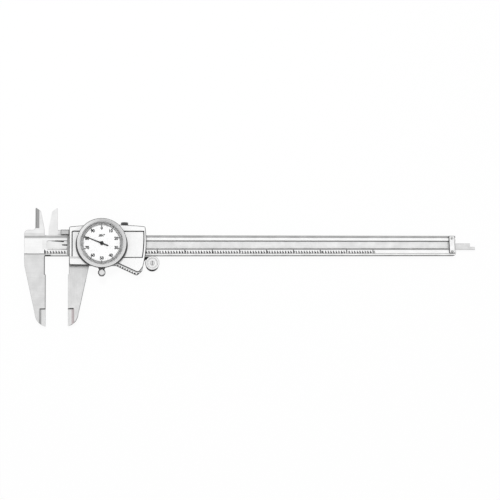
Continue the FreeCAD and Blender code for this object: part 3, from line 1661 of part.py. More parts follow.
make_beam()
make_rack()
make_rack_pins()
make_end_plate()
make_end_plate_screws()
make_slide_body()
make_cover()
make_cover_screws()
make_back_plate()
make_back_screws()
make_gib()
make_gib_screws()
make_depth_rod()
make_rod_screws()
make_case()
make_case_screws()
make_upper_plate()
make_pillars()
make_plate_screws()
make_gears()
make_pointer()
make_snap_ring()
make_bezel_back_ring()
make_dial_face()
make_bezel()
make_bezel_screws()
make_gasket()
make_crystal()
make_clamp_shoe()
make_clamp_screw()
make_lock_screw()
make_roller()
make_roller_arm()
make_roller_arm_screws()
make_roller_screw()

document.recompute()
for item in document.Objects:
    if "Invalid" in item.State or "Error" in item.State:
        raise RuntimeError(f"{item.Label} failed: {item.State}")
for piece in pieces:
    if piece.Shape.isNull() or not piece.Shape.isValid() or not piece.Shape.Solids:
        raise RuntimeError(f"{piece.Label} has no valid shape")

os.makedirs("parts", exist_ok=True)
for piece in pieces:
    piece.Shape.exportStep(f"parts/{piece.Label}.step")
print(len(pieces), "pieces written")
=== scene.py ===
import math

import bmesh
import bpy
import numpy as np
from mathutils import Matrix, Vector


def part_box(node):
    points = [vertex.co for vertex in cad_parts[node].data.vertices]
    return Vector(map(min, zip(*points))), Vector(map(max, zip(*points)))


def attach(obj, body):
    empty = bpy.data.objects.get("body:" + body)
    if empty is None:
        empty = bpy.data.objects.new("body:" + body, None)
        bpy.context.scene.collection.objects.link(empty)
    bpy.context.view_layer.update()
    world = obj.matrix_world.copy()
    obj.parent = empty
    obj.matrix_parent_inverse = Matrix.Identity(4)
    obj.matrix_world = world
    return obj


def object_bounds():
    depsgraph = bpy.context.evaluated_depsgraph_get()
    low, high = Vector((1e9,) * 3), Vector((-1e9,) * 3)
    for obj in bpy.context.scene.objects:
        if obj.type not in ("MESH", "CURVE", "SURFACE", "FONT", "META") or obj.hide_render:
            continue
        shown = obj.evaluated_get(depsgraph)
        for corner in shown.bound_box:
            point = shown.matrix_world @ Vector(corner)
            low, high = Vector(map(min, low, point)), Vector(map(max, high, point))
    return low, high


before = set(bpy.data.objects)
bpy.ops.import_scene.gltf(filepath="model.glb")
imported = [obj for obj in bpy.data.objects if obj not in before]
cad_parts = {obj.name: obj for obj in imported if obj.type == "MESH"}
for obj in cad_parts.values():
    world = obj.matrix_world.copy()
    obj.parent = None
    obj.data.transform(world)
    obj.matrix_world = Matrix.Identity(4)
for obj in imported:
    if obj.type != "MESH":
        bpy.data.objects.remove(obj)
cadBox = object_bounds()
print("frame loaded:", len(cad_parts), "nodes")

mm = 0.001
inch = 25.4 * mm


screen = {"offset": 0.055, "span": 1.055, "power": 2.4, "warm": (0.6, -0.3, -0.2)}


def shade(level, warmth=0.0):
    # a gray that shows as bright as the level, a little red where warmth is above zero;
    # linear = ((shown + offset) / span) ^ power
    shown = [min(max(level + warmth * part, 0.0), 1.0) for part in screen["warm"]]
    return tuple(((value + screen["offset"]) / screen["span"]) ** screen["power"] for value in shown)


def tint(dark, light, soft, warmth=0.0, **limits):
    # a zone of an object, its limits in mm, with its own two levels
    return dict(limits, soft=soft, dark=shade(dark, warmth), light=shade(light, warmth))


cornerSamples = 8


class Wire:
    # one socket; arithmetic on it adds Math nodes to its tree
    def __init__(self, paint, socket):
        self.paint = paint
        self.socket = socket

    def math(self, operation, *others):
        values = {0: self, **dict(enumerate(others, start=1))}
        return self.paint.node("ShaderNodeMath", {"operation": operation}, values)

    def __add__(self, other):
        return self.math("ADD", other)

    def __radd__(self, other):
        return self.math("ADD", other)

    def __sub__(self, other):
        return self.math("SUBTRACT", other)

    def __rsub__(self, other):
        return self.paint.node("ShaderNodeMath", {"operation": "SUBTRACT"}, {0: other, 1: self})

    def __mul__(self, other):
        return self.math("MULTIPLY", other)

    def clamp(self, low, high):
        return self.paint.node("ShaderNodeClamp", {}, {"Value": self, "Min": low, "Max": high})

    def ramp(self, low, high):
        # 0 below low, 1 above high, smooth between them
        settings = {"interpolation_type": "SMOOTHSTEP"}
        values = {"Value": self, "From Min": low, "From Max": high}
        return self.paint.node("ShaderNodeMapRange", settings, values)

    def band(self, low, high, soft):
        # 1 between low and high, fading out over soft beyond them
        return self.ramp(low - soft, low) * (1 - self.ramp(high, high + soft))


class Paint:
    # the nodes of one material or of the world, added one by one
    def __init__(self, owner):
        owner.use_nodes = True
        self.owner = owner
        self.tree = owner.node_tree
        self.shader = self.tree.nodes.get("Principled BSDF") or self.tree.nodes["Background"]

    def node(self, kind, settings=None, values=None, out=0):
        made = self.tree.nodes.new(kind)
        for key, value in (settings or {}).items():
            setattr(made, key, value)
        for key, value in (values or {}).items():
            self.feed(made.inputs[key], value)
        return Wire(self, made.outputs[out])

    def feed(self, socket, value):
        if isinstance(value, Wire):
            self.tree.links.new(value.socket, socket)
        elif socket.type == "RGBA":
            socket.default_value = (*value[:3], 1.0)
        else:
            socket.default_value = value

    def siblings(self, wire, *names):
        # other outputs of the node that the wire comes from
        return [Wire(self, wire.socket.node.outputs[name]) for name in names]

    def place(self):
        # the object's own coordinates, in metres
        return self.node("ShaderNodeTexCoord", out="Object")

    def axes(self, point):
        return self.siblings(self.node("ShaderNodeSeparateXYZ", {}, {0: point}), "X", "Y", "Z")

    def moved(self, point, scale, shift=(0, 0, 0)):
        return self.node("ShaderNodeMapping", {}, {"Vector": point, "Scale": scale, "Location": shift})

    def noise(self, point, scale, detail, rough):
        values = {"Vector": point, "Scale": scale, "Detail": detail, "Roughness": rough}
        return self.node("ShaderNodeTexNoise", {}, values)

    def mix(self, factor, first, second):
        values = {0: factor, 6: first, 7: second}
        return self.node("ShaderNodeMix", {"data_type": "RGBA"}, values, out=2)

    def facing(self, axis):
        # 1 where the surface looks along the axis, 0 on walls beside it
        return self.axes(self.node("ShaderNodeTexCoord", out="Normal"))[axis].math("ABSOLUTE")

    def corner(self, reach):
        # 0 in the open, towards 1 deep in an inner corner of the same piece
        settings = {"only_local": True, "samples": cornerSamples}
        return 1 - self.node("ShaderNodeAmbientOcclusion", settings, {"Distance": reach}, out="AO")

    def rim(self, reach):
        # 0 on open faces, towards 1 along the outer edges of the same piece
        settings = {"only_local": True, "inside": True, "samples": cornerSamples}
        return 1 - self.node("ShaderNodeAmbientOcclusion", settings, {"Distance": reach}, out="AO")

    def inside(self, point, zone):
        # 1 inside the zone's limits, after a turn about the zone's centre where it has one
        mask = 1.0
        if "turn" in zone:
            centre = [part * mm for part in zone["centre"]]
            values = {"Vector": point, "Center": centre, "Angle": zone["turn"]}
            point = self.node("ShaderNodeVectorRotate", {"rotation_type": "Z_AXIS"}, values)
        for letter, part in zip("xyz", self.axes(point)):
            if letter in zone:
                low, high = zone[letter]
                mask = part.band(low * mm, high * mm, zone["soft"] * mm) * mask
        return mask

    def bump(self, height, strength, distance):
        values = {"Height": height, "Strength": strength, "Distance": distance}
        return self.node("ShaderNodeBump", {}, values)

    def finish(self, **values):
        for key, value in values.items():
            self.feed(self.shader.inputs[key.replace("_", " ")], value)
        return self.owner


def newPaint(name):
    return Paint(bpy.data.materials.new(name))


grainKinds = {"straight": (4.0, 0.6), "turned": (3.0, 0.6), "blasted": (2.0, 0.5)}


def grainLines(paint, point, look):
    # straight: noise stretched along one axis; turned: noise by the distance from the centre;
    # blasted: fine noise
    detail = grainKinds[look["grain"]]
    if look["grain"] == "straight":
        return paint.noise(paint.moved(point, look["lines"]), 1.0, *detail)
    if look["grain"] == "turned":
        x, y, z = paint.axes(paint.moved(point, (1, 1, 1), [-part for part in look["centre"]]))
        radius = (x * x + y * y).math("SQRT")
        spread = paint.node("ShaderNodeCombineXYZ", {}, {0: radius, 2: z})
        return paint.noise(spread, look["lines"], *detail)
    return paint.noise(point, look["lines"], *detail)


def metalFinish(name, look):
    # grain and clouds on the faces, painted shade on slopes and walls, random stains, painted shade with
    # some grime in inner corners, edges rubbed and, on pale metal, painted dark as shade
    paint = newPaint(name)
    point = paint.place()
    lines = grainLines(paint, point, look)
    clouds = paint.noise(point, look["clouds"], *look["cloudDetail"])
    specks = paint.noise(point, look["specks"], *look["speckDetail"])
    tone = (lines * look["toneLines"] + clouds * look["toneClouds"]).ramp(*look["toneRange"])
    color = paint.mix(tone, look["dark"], look["light"])
    # zones and patches paint listed tones on parts of a piece; some are painted shade and some painted
    # light, noted at each look
    for zone in look.get("zones", []):
        color = paint.mix(paint.inside(point, zone), color, paint.mix(tone, zone["dark"], zone["light"]))
    # painted shade: slopes and walls take darker tones the further they turn from the axis
    up = paint.facing(look["axis"])
    side = paint.mix(up.ramp(*look["steepRange"]), look["steep"], look["shallow"])
    wall = paint.mix(tone, look["wall"], look["wallLight"])
    side = paint.mix(up.ramp(*look["wallRange"]), wall, side)
    color = paint.mix(up.ramp(*look["faceRange"]), side, color)
    color = paint.mix(specks.ramp(*look["speckRange"]) * look["speck"], color, look["stainAndShade"])
    # painted shade with some grime: inner corners of the piece darkened towards the stain-and-shade tone
    cornerShade = paint.corner(look["cornerReach"]).ramp(*look["cornerRange"]) * look["corner"]
    color = paint.mix(cornerShade, color, look["stainAndShade"])
    # edges: rubbed wear, and painted shade where the edge tone is darker than the faces
    edgeWearAndShade = paint.rim(look["rimReach"]).ramp(*look["rimRange"]) * clouds.ramp(*look["wearRange"])
    color = paint.mix(edgeWearAndShade * look["rim"], color, look["edge"])
    for zone in look.get("patches", []):
        color = paint.mix(paint.inside(point, zone), color, paint.mix(tone, zone["dark"], zone["light"]))
    rough = (lines - 0.5) * look["roughLines"] + (clouds - 0.5) * look["roughClouds"]
    rough = rough + specks * look["roughSpecks"] + look["rough"]
    height = lines * look["bumpLines"] + specks * look["bumpSpecks"]
    return paint.finish(
        Base_Color=color, Metallic=look["metallic"], Roughness=rough.clamp(*look["roughLimits"]),
        Normal=paint.bump(height, look["bump"], look["bumpDistance"]),
    )


def plainFinish(name, look):
    # black oxide, ink, enamel or nylon: a fine uneven surface, its edges rubbed where rim is above 0
    paint = newPaint(name)
    point = paint.place()
    grain = paint.noise(point, look["grain"], *look["grainDetail"])
    clouds = paint.noise(point, look["grain"] * look["cloudShare"], *look["cloudDetail"])
    color = paint.mix(clouds.ramp(*look["toneRange"]), look["dark"], look["light"])
    edgeWearAndShade = paint.rim(look["rimReach"]).ramp(*look["rimRange"]) * grain.ramp(*look["wearRange"])
    rough = (grain - 0.5) * look["roughGrain"] + look["rough"]
    return paint.finish(
        Base_Color=paint.mix(edgeWearAndShade * look["rim"], color, look["edge"]), Metallic=look["metallic"],
        Roughness=rough.clamp(*look["roughLimits"]), Specular_IOR_Level=look["shine"],
        Normal=paint.bump(grain, look["bump"], look["bumpDistance"]),
    )


def crystalFinish(name, look):
    # clear from above, glossier at a slant, with faint smears
    paint = newPaint(name)
    smear = paint.noise(paint.place(), look["smearScale"], *look["smearDetail"])
    slant = paint.node("ShaderNodeFresnel", {}, {"IOR": look["ior"]})
    return paint.finish(
        Base_Color=look["tint"], Roughness=(smear * look["roughSmear"] + look["rough"]).clamp(0.0, 1.0),
        Alpha=(slant * look["gloss"] + smear * look["smear"]).clamp(0.0, 1.0), IOR=look["ior"],
    )


def middleOf(node):
    low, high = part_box(node)
    return ((low[0] + high[0]) / 2, (low[1] + high[1]) / 2, 0.0)


dialCentre = middleOf("dial_face")
rollerCentre = middleOf("thumb_roller")
clampCentre = middleOf("bezel_clamp_screw")
lowerEdge = 40.25  # the beam's lower edge, in mm

steelLook = {
    "grain": "straight", "lines": (60, 5200, 900), "clouds": 110.0, "specks": 1500.0, "axis": 2,
    "cloudDetail": (3.0, 0.55), "speckDetail": (2.0, 0.7),
    "dark": shade(0.83), "light": shade(0.91), "shallow": shade(0.64), "steep": shade(0.24),
    "wall": shade(0.34), "wallLight": shade(0.5), "stainAndShade": shade(0.34), "speck": 0.25,
    "corner": 0.8, "cornerReach": 0.9 * mm, "edge": shade(0.45), "rim": 0.7, "rimReach": 0.5 * mm,
    "rough": 0.42, "metallic": 0.55, "bump": 0.25, "bumpDistance": 0.02 * mm,
    "toneRange": (0.32, 0.68), "steepRange": (0.72, 0.82), "wallRange": (0.15, 0.35),
    "faceRange": (0.985, 0.998), "speckRange": (0.64, 0.78), "cornerRange": (0.1, 0.6),
    "rimRange": (0.08, 0.42), "wearRange": (0.2, 0.55), "roughLimits": (0.12, 0.95),
    "toneLines": 0.45, "toneClouds": 0.55, "roughLines": 0.16, "roughClouds": 0.12,
    "roughSpecks": 0.06, "bumpLines": 0.7, "bumpSpecks": 0.3,
}
beamLook = dict(steelLook, corner=0.5, zones=[
    tint(0.955, 1.0, 0.1, z=(1.88, 2.4)),
    tint(0.87, 0.96, 0.15, y=(45.5, 54.9), z=(0.5, 1.25)),
    # painted shadow of the groove's upper wall along its floor
    tint(0.46, 0.58, 0.25, x=(20, 400), y=(53.7, 54.9), z=(0.5, 1.25)),
    tint(0.91, 0.98, 0.3, x=(-3, 21), y=(45.5, 54.9), z=(0.5, 1.25)),
    # painted shade: the upper margin darker, and darker lines beside the steps with some grime
    tint(0.60, 0.70, 0.3, y=(57.3, 58.5), z=(1.3, 1.75)),
    tint(0.72, 0.80, 0.4, x=(-25, 21), y=(56.75, 57.6), z=(1.3, 1.75)),
    tint(0.72, 0.80, 0.3, x=(-25, -0.4), y=(41.5, 42.35), z=(1.3, 1.75)),
    # painted shade along the fixed jaw's right edge, darkest near the beam
    tint(0.58, 0.70, 0.25, x=(-0.6, 0.2), y=(-7, 22.8), z=(1.2, 1.75)),
    tint(0.36, 0.50, 0.25, x=(-1.5, 0.2), y=(23.3, 40), z=(1.2, 1.75)),
    # painted light: the lower margin lighter than the upper one
    tint(0.88, 0.98, 0.2, x=(0, 400), y=(40.2, 42.4), z=(1.3, 1.75)),
    tint(0.90, 0.97, 0.5, y=(61.5, 86), z=(1.3, 1.75)),
    tint(0.86, 0.93, 0.1, y=(-26, -7.25), x=(-5.1, 0.2), z=(0.3, 0.9)),
    # painted shade on the blade's hollow, at its left side
    tint(0.62, 0.72, 0.9, y=(-26, -7.25), x=(-5.2, -4.2), z=(0.3, 0.9)),
    # painted shade at the step where the blade's recess ends
    tint(0.22, 0.32, 0.2, x=(-5.2, 0.1), y=(-8.0, -7.2), z=(0.3, 0.9)),
], patches=[
    # painted light on the top edge's bevel between the jaws
    tint(0.82, 0.90, 0.3, x=(0.4, 20), y=(58.6, 59.6)),
    tint(0.90, 0.97, 0.3, x=(-3, 8), y=(46.5, 54.9), z=(0.7, 1.95)),
    tint(0.96, 1.0, 0.15, x=(21, 400), y=(56.2, 57.0), z=(1.3, 2.2)),
    # painted shade along the beam's lower edge, darkest at the fixed jaw
    tint(0.34, 0.48, 0.15, x=(-0.3, 400), y=(39.9, 40.7), z=(-2.1, 1.7)),
    tint(0.2, 0.3, 0.8, x=(-0.7, 4), y=(39.6, 41.0), z=(-2.1, 1.7)),
    # painted shade along the blade's left edge
    tint(0.64, 0.76, 0.3, x=(-5.6, -4.7), y=(-26, -8.2), z=(0.5, 1.65)),
])
# corners and edges: strong painted shade, as under the cover
slideLook = dict(
    steelLook, lines=(4200, 80, 900), shallow=shade(0.93), cornerReach=1.6 * mm, corner=0.95,
    stainAndShade=shade(0.2), speck=0.15, rimReach=0.9 * mm, rim=0.9, edge=shade(0.36),
    zones=[
        tint(0.89, 0.96, 2, x=(0, 14), y=(62, 86)),
        tint(0.90, 0.98, 0.1, z=(4.25, 4.6)),
        # painted shadow in the thumb rest's notches
        tint(0.03, 0.08, 0.1, x=(50, 95), y=(20, 42), z=(1.95, 2.25)),
        tint(0.85, 0.91, 0.1, y=(-26, -7.25), x=(19.7, 25), z=(0.3, 0.9)),
        # painted shade, a warm gradient, on the blade's hollow at its right side
        tint(0.72, 0.80, 1.1, warmth=0.04, y=(-26, -7.25), x=(23.6, 25), z=(0.3, 0.9)),
    ],
    patches=[
        # painted shade on the bevelled reading edge
        tint(0.46, 0.70, 0.3, x=(17.4, 21.3), y=(41.5, 58.6)),
        tint(0.83, 0.90, 0.3, x=(19.6, 21.2), y=(-30, 24), z=(0.3, 2.2)),
        # painted shade at the step where the blade's recess ends
        tint(0.16, 0.26, 0.2, x=(19.7, 24.9), y=(-8.0, -7.2), z=(0.3, 0.9)),
        tint(0.90, 0.96, 1.5, x=(1, 9.8), y=(60, 86), z=(-0.2, 0.2)),
        # painted shade along the blade's right edge
        tint(0.66, 0.76, 0.4, warmth=0.04, y=(-26, -8.2), x=(24.3, 25.3), z=(0.5, 1.65)),
        tint(
            0.93, 1.0, 0.15, centre=(63.24, 31.25, 0), turn=0.4465,
            x=(62.2, 81.6), y=(31.6, 33.0), z=(4.3, 4.6),
        ),
        # painted shade on the front wall next to the cover's right tip
        tint(0.15, 0.3, 0.3, x=(82.3, 83.5), y=(22.8, 24.2), z=(4.0, 4.6)),
        tint(0.42, 0.6, 0.3, x=(84.6, 86.3), y=(24.4, 25.8), z=(4.0, 4.6)),
    ],
)
plainSteelLook = dict(steelLook, clouds=160.0, rough=0.38, dark=shade(0.82))
# painted shade on the plate's bevels and edges
endLook = dict(
    plainSteelLook, dark=shade(0.94), light=shade(1.0), steep=shade(0.22), rim=1.0,
    edge=shade(0.25), rimReach=0.8 * mm,
)
blockLook = dict(
    plainSteelLook, dark=shade(0.74), light=shade(0.84), steep=shade(0.34), edge=shade(0.3), rim=0.7,
)
darkSteelLook = dict(
    steelLook, dark=shade(0.36), light=shade(0.50), wall=shade(0.24), wallLight=shade(0.4),
    shallow=shade(0.4), steep=shade(0.28), stainAndShade=shade(0.1), edge=shade(0.66), rim=0.35, rough=0.36,
)
rackLook = dict(
    darkSteelLook, dark=shade(0.50), light=shade(0.66), corner=0.5,
    zones=[tint(0.84, 0.92, 9, x=(-3, 9))],
)
brassLook = dict(
    steelLook, lines=(1800, 1800, 900), dark=(0.55, 0.38, 0.15), light=(0.80, 0.60, 0.28),
    shallow=(0.5, 0.35, 0.14), steep=(0.42, 0.29, 0.11), wall=(0.45, 0.32, 0.13),
    wallLight=(0.6, 0.44, 0.2), stainAndShade=(0.2, 0.12, 0.05), edge=(0.9, 0.74, 0.42),
    metallic=1.0, rough=0.3,
)
bezelLook = dict(
    steelLook, grain="turned", centre=dialCentre, lines=2600.0, dark=shade(0.86),
    light=shade(0.95), shallow=shade(0.86), steep=shade(0.26), wall=shade(0.44),
    wallLight=shade(0.6), rim=0.25, corner=0.3, rough=0.34, metallic=0.75, bump=0.2,
)
# painted shade: a dark ring along the knob's edge
clampLook = dict(
    bezelLook, centre=clampCentre, edge=shade(0.05), rim=1.4, rimReach=1.9 * mm,
)
# painted shade on the roller's side wall and edge
rollerLook = dict(
    bezelLook, centre=rollerCentre, dark=shade(0.94), light=shade(0.99), steep=shade(0.80),
    wall=shade(0.10), wallLight=shade(0.22), edge=shade(0.36), rim=0.9, metallic=0.4,
)
# painted shade on the bevels and the recess walls
coverLook = dict(
    steelLook, grain="blasted", lines=5200.0, clouds=70.0, dark=shade(0.97), light=shade(1.0),
    steep=shade(0.18), shallow=shade(0.5), wall=shade(0.30), wallLight=shade(0.45),
    edge=shade(0.36), rim=0.8, rimReach=0.8 * mm, stainAndShade=shade(0.6), speck=0.1, corner=0.6,
    rough=0.5, metallic=0.1, bump=0.15,
    # painted light on the lower-left wall of the recess
    patches=[tint(0.8, 0.9, 0.3, x=(21.5, 41), y=(37.5, 39.3), z=(5.7, 6.85))],
)
blackLook = {
    "grain": 2600.0, "dark": shade(0.08), "light": shade(0.16), "edge": shade(0.6), "rim": 0.5,
    "rough": 0.45, "metallic": 0.3, "bump": 0.2, "shine": 0.5, "bumpDistance": 0.01 * mm,
    "grainDetail": (3.0, 0.6), "cloudDetail": (2.0, 0.5),
    "cloudShare": 0.05, "toneRange": (0.35, 0.65), "rimReach": 0.3 * mm, "rimRange": (0.1, 0.45),
    "wearRange": (0.35, 0.6), "roughGrain": 0.15, "roughLimits": (0.05, 0.95),
}
grayLook = dict(blackLook, metallic=0.0, rough=0.5, dark=shade(0.52), light=shade(0.62), rim=0.0)
chapterLook = dict(
    blackLook, grain=3200.0, metallic=0.0, dark=shade(0.83), light=shade(0.87), rim=0.0, bump=0.05,
)
inkLook = dict(
    blackLook, metallic=0.0, rough=0.6, bump=0.1, dark=shade(0.02), light=shade(0.06), rim=0.0,
    shine=0.12,
)
pointerLook = dict(inkLook, rough=0.5, rim=0.15)
nylonLook = dict(
    blackLook, metallic=0.0, rough=0.7, dark=shade(0.80), light=shade(0.88), rim=0.0,
)
enamelLook = dict(
    blackLook, grain=3200.0, dark=shade(0.985), light=shade(1.0), edge=shade(0.85), metallic=0.0,
    bump=0.05,
)
crystalLook = {
    "tint": (0.95, 0.96, 0.97), "rough": 0.02, "roughSmear": 0.05, "gloss": 0.24, "smear": 0.003,
    "smearScale": 60.0, "smearDetail": (3.0, 0.5), "ior": 1.49,
}

finishes = {
    "beamSteel": metalFinish("beamSteel", beamLook),
    "slideSteel": metalFinish("slideSteel", slideLook),
    "plainSteel": metalFinish("plainSteel", plainSteelLook),
    "endSteel": metalFinish("endSteel", endLook),
    "darkSteel": metalFinish("darkSteel", darkSteelLook),
    "knobSteel": metalFinish("knobSteel", dict(darkSteelLook, axis=1)),
    "rackSteel": metalFinish("rackSteel", rackLook),
    "brass": metalFinish("brass", brassLook),
    "bezelSatin": metalFinish("bezelSatin", bezelLook),
    "clampSatin": metalFinish("clampSatin", clampLook),
    "rollerSatin": metalFinish("rollerSatin", rollerLook),
    "coverSatin": metalFinish("coverSatin", coverLook),
    "blackOxide": plainFinish("blackOxide", blackLook),
    "ink": plainFinish("ink", inkLook),
    "grayInk": plainFinish("grayInk", grayLook),
    "chapterEnamel": plainFinish("chapterEnamel", chapterLook),
    "blockSteel": metalFinish("blockSteel", blockLook),
    "pointerBlack": plainFinish("pointerBlack", pointerLook),
    "nylon": plainFinish("nylon", nylonLook),
    "enamel": plainFinish("enamel", enamelLook),
    "crystal": crystalFinish("crystal", crystalLook),
}

nodeFinish = {
    "beam": "beamSteel", "end_plate": "endSteel", "depth_rod": "plainSteel", "rack": "rackSteel",
    "rack_pins": "darkSteel", "slide_body": "slideSteel", "back_plate": "slideSteel",
    "slide_cover": "coverSatin", "gib": "brass", "roller_arm": "blackOxide",
    "thumb_roller": "rollerSatin", "bezel": "bezelSatin", "bezel_back_ring": "bezelSatin",
    "dial_face": "enamel", "pointer": "pointerBlack", "crystal": "crystal",
    "crystal_gasket": "nylon", "dial_case": "bezelSatin", "upper_plate": "brass",
    "plate_pillars": "brass", "first_gear": "brass", "idler_gear": "brass", "takeup_gear": "brass",
    "lock_screw": "knobSteel", "bezel_clamp_screw": "clampSatin", "bezel_clamp_shoe": "darkSteel",
}


def dress(node, finish):
    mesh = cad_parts[node].data
    mesh.materials.clear()
    mesh.materials.append(finishes[finish])


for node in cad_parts:
    dress(node, nodeFinish.get(node, "plainSteel"))
print("finishes on", len(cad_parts), "nodes")


def addPiece(name, mesh, finish, body):
    # every piece is a closed shell, so its faces can be turned outwards here
    shell = bmesh.new()
    shell.from_mesh(mesh)
    bmesh.ops.recalc_face_normals(shell, faces=shell.faces)
    shell.to_mesh(mesh)
    shell.free()
    mesh.materials.clear()
    mesh.materials.append(finishes[finish])
    piece = bpy.data.objects.new(name, mesh)
    bpy.context.scene.collection.objects.link(piece)
    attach(piece, body)
    return piece


def bars(name, starts, ends, widths, level, thick, finish, body):
    # flat-topped bars: each runs from its start to its end, tapering from one width to the other
    starts, ends, widths = (np.asarray(part, float) for part in (starts, ends, widths))
    if widths.ndim == 1:
        widths = np.stack([widths, widths], axis=1)
    along = ends - starts
    along /= np.linalg.norm(along, axis=1)[:, None]
    side = np.stack([-along[:, 1], along[:, 0]], axis=1)
    near, far = side * widths[:, :1] / 2, side * widths[:, 1:] / 2
    flat = np.stack([starts - near, ends - far, ends + far, starts + near], axis=1)
    count = len(flat)
    low = np.concatenate([flat, np.full((count, 4, 1), level)], axis=2)
    high = np.concatenate([flat, np.full((count, 4, 1), level + thick)], axis=2)
    points = np.concatenate([low, high], axis=1).reshape(-1, 3)
    box = np.array([
        [0, 3, 2, 1], [4, 5, 6, 7], [0, 1, 5, 4], [1, 2, 6, 5], [2, 3, 7, 6], [3, 0, 4, 7],
    ])
    faces = (box[None] + 8 * np.arange(count)[:, None, None]).reshape(-1, 4)
    mesh = bpy.data.meshes.new(name)
    mesh.from_pydata(points.tolist(), [], faces.tolist())
    return addPiece(name, mesh, finish, body)


def loft(name, rings, looped, finish, body):
    # equal rings of points joined in order; looped joins the last to the first, else the ends are capped
    rings = np.asarray(rings, float)
    count, width = rings.shape[:2]
    steps = count if looped else count - 1
    along, across = np.meshgrid(np.arange(steps), np.arange(width), indexing="ij")
    ahead, beside = (along + 1) % count, (across + 1) % width
    sides = np.stack([
        along * width + across, along * width + beside,
        ahead * width + beside, ahead * width + across,
    ], axis=2).reshape(-1, 4).tolist()
    caps = [] if looped else [list(range(width)), list(range((count - 1) * width, count * width))]
    mesh = bpy.data.meshes.new(name)
    mesh.from_pydata(rings.reshape(-1, 3).tolist(), [], sides + caps)
    return addPiece(name, mesh, finish, body)


def bentStrip(name, centre, turn, inner, outer, low, high, looped, finish, body):
    # a flat strip bent round the centre: at each turn a rectangle from its inner to its outer radius
    inner, outer = np.broadcast_to(inner, turn.shape), np.broadcast_to(outer, turn.shape)
    radius = np.stack([inner, outer, outer, inner], axis=1)
    x = centre[0] + np.cos(turn)[:, None] * radius
    y = centre[1] + np.sin(turn)[:, None] * radius
    z = np.broadcast_to([low, low, high, high], x.shape)
    return loft(name, np.stack([x, y, z], axis=2), looped, finish, body)


# sizeShare is the font's size over the height of its digits
letterLook = {"sizeShare": 1.42, "resolution": 3}


def lettering(name, words, narrow, bold, thick, finish, body):
    # words is a list of text, x, y, level and height; all become one mesh, each word narrowed in x
    joined = bmesh.new()
    for text, x, y, level, height in words:
        curve = bpy.data.curves.new("word", "FONT")
        curve.body = text
        curve.size = height * letterLook["sizeShare"]
        curve.align_x = "CENTER"
        curve.align_y = "CENTER"
        curve.extrude = thick / 2
        curve.offset = bold
        curve.resolution_u = letterLook["resolution"]
        holder = bpy.data.objects.new("word", curve)
        bpy.context.scene.collection.objects.link(holder)
        bpy.context.view_layer.update()
        mesh = bpy.data.meshes.new_from_object(holder)
        place = Matrix.Translation(Vector((x, y, level + thick / 2)))
        mesh.transform(place @ Matrix.Diagonal((narrow, 1, 1, 1)))
        bpy.data.objects.remove(holder)
        joined.from_mesh(mesh)
        bpy.data.meshes.remove(mesh)
    mesh = bpy.data.meshes.new(name)
    joined.to_mesh(mesh)
    joined.free()
    return addPiece(name, mesh, finish, body)


# low, high, inchHigh and the rises are in mm above the lower edge or above low
scaleLook = {
    "zero": -1.0 * mm, "count": 121, "low": 2.25, "high": 4.7, "inchHigh": 5.8, "narrow": 0.8,
    "width": 0.82 * mm, "level": 2.0 * mm, "thick": 0.012 * mm, "bold": 0.12 * mm,
    "digit": 1.3 * mm, "digitRise": 0.72, "digitSide": 0.86 * mm, "inchDigit": 2.1 * mm,
    "inchRise": 1.15,
}


def beamScale(look):
    # a mark each tenth of an inch from the zero, longer at each inch, with its number
    steps = np.arange(look["count"])
    x = look["zero"] + steps * inch / 10
    low = (lowerEdge + look["low"]) * mm
    tall = (lowerEdge + np.where(steps % 10 == 0, look["inchHigh"], look["high"])) * mm
    starts = np.stack([x, np.full_like(x, low)], axis=1)
    ends = np.stack([x, tall], axis=1)
    widths = np.full(len(x), look["width"])
    bars("beamGraduations", starts, ends, widths, look["level"], look["thick"], "ink", "beam")
    words = []
    for step, place in enumerate(x):
        if step % 10:
            rise, height, text = look["digitRise"], look["digit"], str(step % 10)
        else:
            rise, height, text = look["inchRise"], look["inchDigit"], str(step // 10)
        words.append((text, place + look["digitSide"], low + rise * mm, look["level"], height))
    lettering("beamNumbers", words, look["narrow"], look["bold"], look["thick"], "ink", "beam")


beamScale(scaleLook)
dialLook = {
    "level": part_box("dial_face")[1][2], "outer": 19.4 * mm, "short": 16.5 * mm, "middle": 16.1 * mm,
    "long": 15.6 * mm, "numbers": 13.7 * mm, "digit": 2.7 * mm, "width": 0.56 * mm, "wide": 0.7 * mm,
    "thick": 0.012 * mm, "bold": 0.2 * mm, "unit": 6.9 * mm, "unitHeight": 2.1 * mm, "narrow": 0.92,
    "chapterInner": 16.1 * mm, "chapterOuter": 19.6 * mm, "chapterThick": 0.004 * mm,
    "chapterSteps": 128, "count": 100,
}


def dialMarks(look):
    # a hundred marks round the dial, clockwise from the top, with every tenth numbered
    steps = np.arange(look["count"])
    turn = np.pi / 2 - steps * 2 * np.pi / look["count"]
    ray = np.stack([np.cos(turn), np.sin(turn)], axis=1)
    centre = np.array(dialCentre[:2])
    inner = np.where(steps % 5 == 0, look["middle"], look["short"])
    inner = np.where(steps % 10 == 0, look["long"], inner)
    widths = np.where(steps % 10 == 0, look["wide"], look["width"])
    bars(
        "dialGraduations", centre + ray * inner[:, None], centre + ray * look["outer"], widths,
        look["level"], look["thick"], "ink", "bezel",
    )
    words = []
    for step in range(0, look["count"], 10):
        place = centre + ray[step] * look["numbers"]
        words.append((str(step), place[0], place[1], look["level"], look["digit"]))
    words.append(('.001"', centre[0], centre[1] + look["unit"], look["level"], look["unitHeight"]))
    lettering("dialNumbers", words, look["narrow"], look["bold"], look["thick"], "ink", "bezel")
    turn = np.arange(look["chapterSteps"]) * 2 * np.pi / look["chapterSteps"]
    bentStrip(
        "chapterRing", dialCentre, turn, look["chapterInner"], look["chapterOuter"],
        look["level"], look["level"] + look["chapterThick"], True, "chapterEnamel", "bezel",
    )


dialMarks(dialLook)
print("marks done")

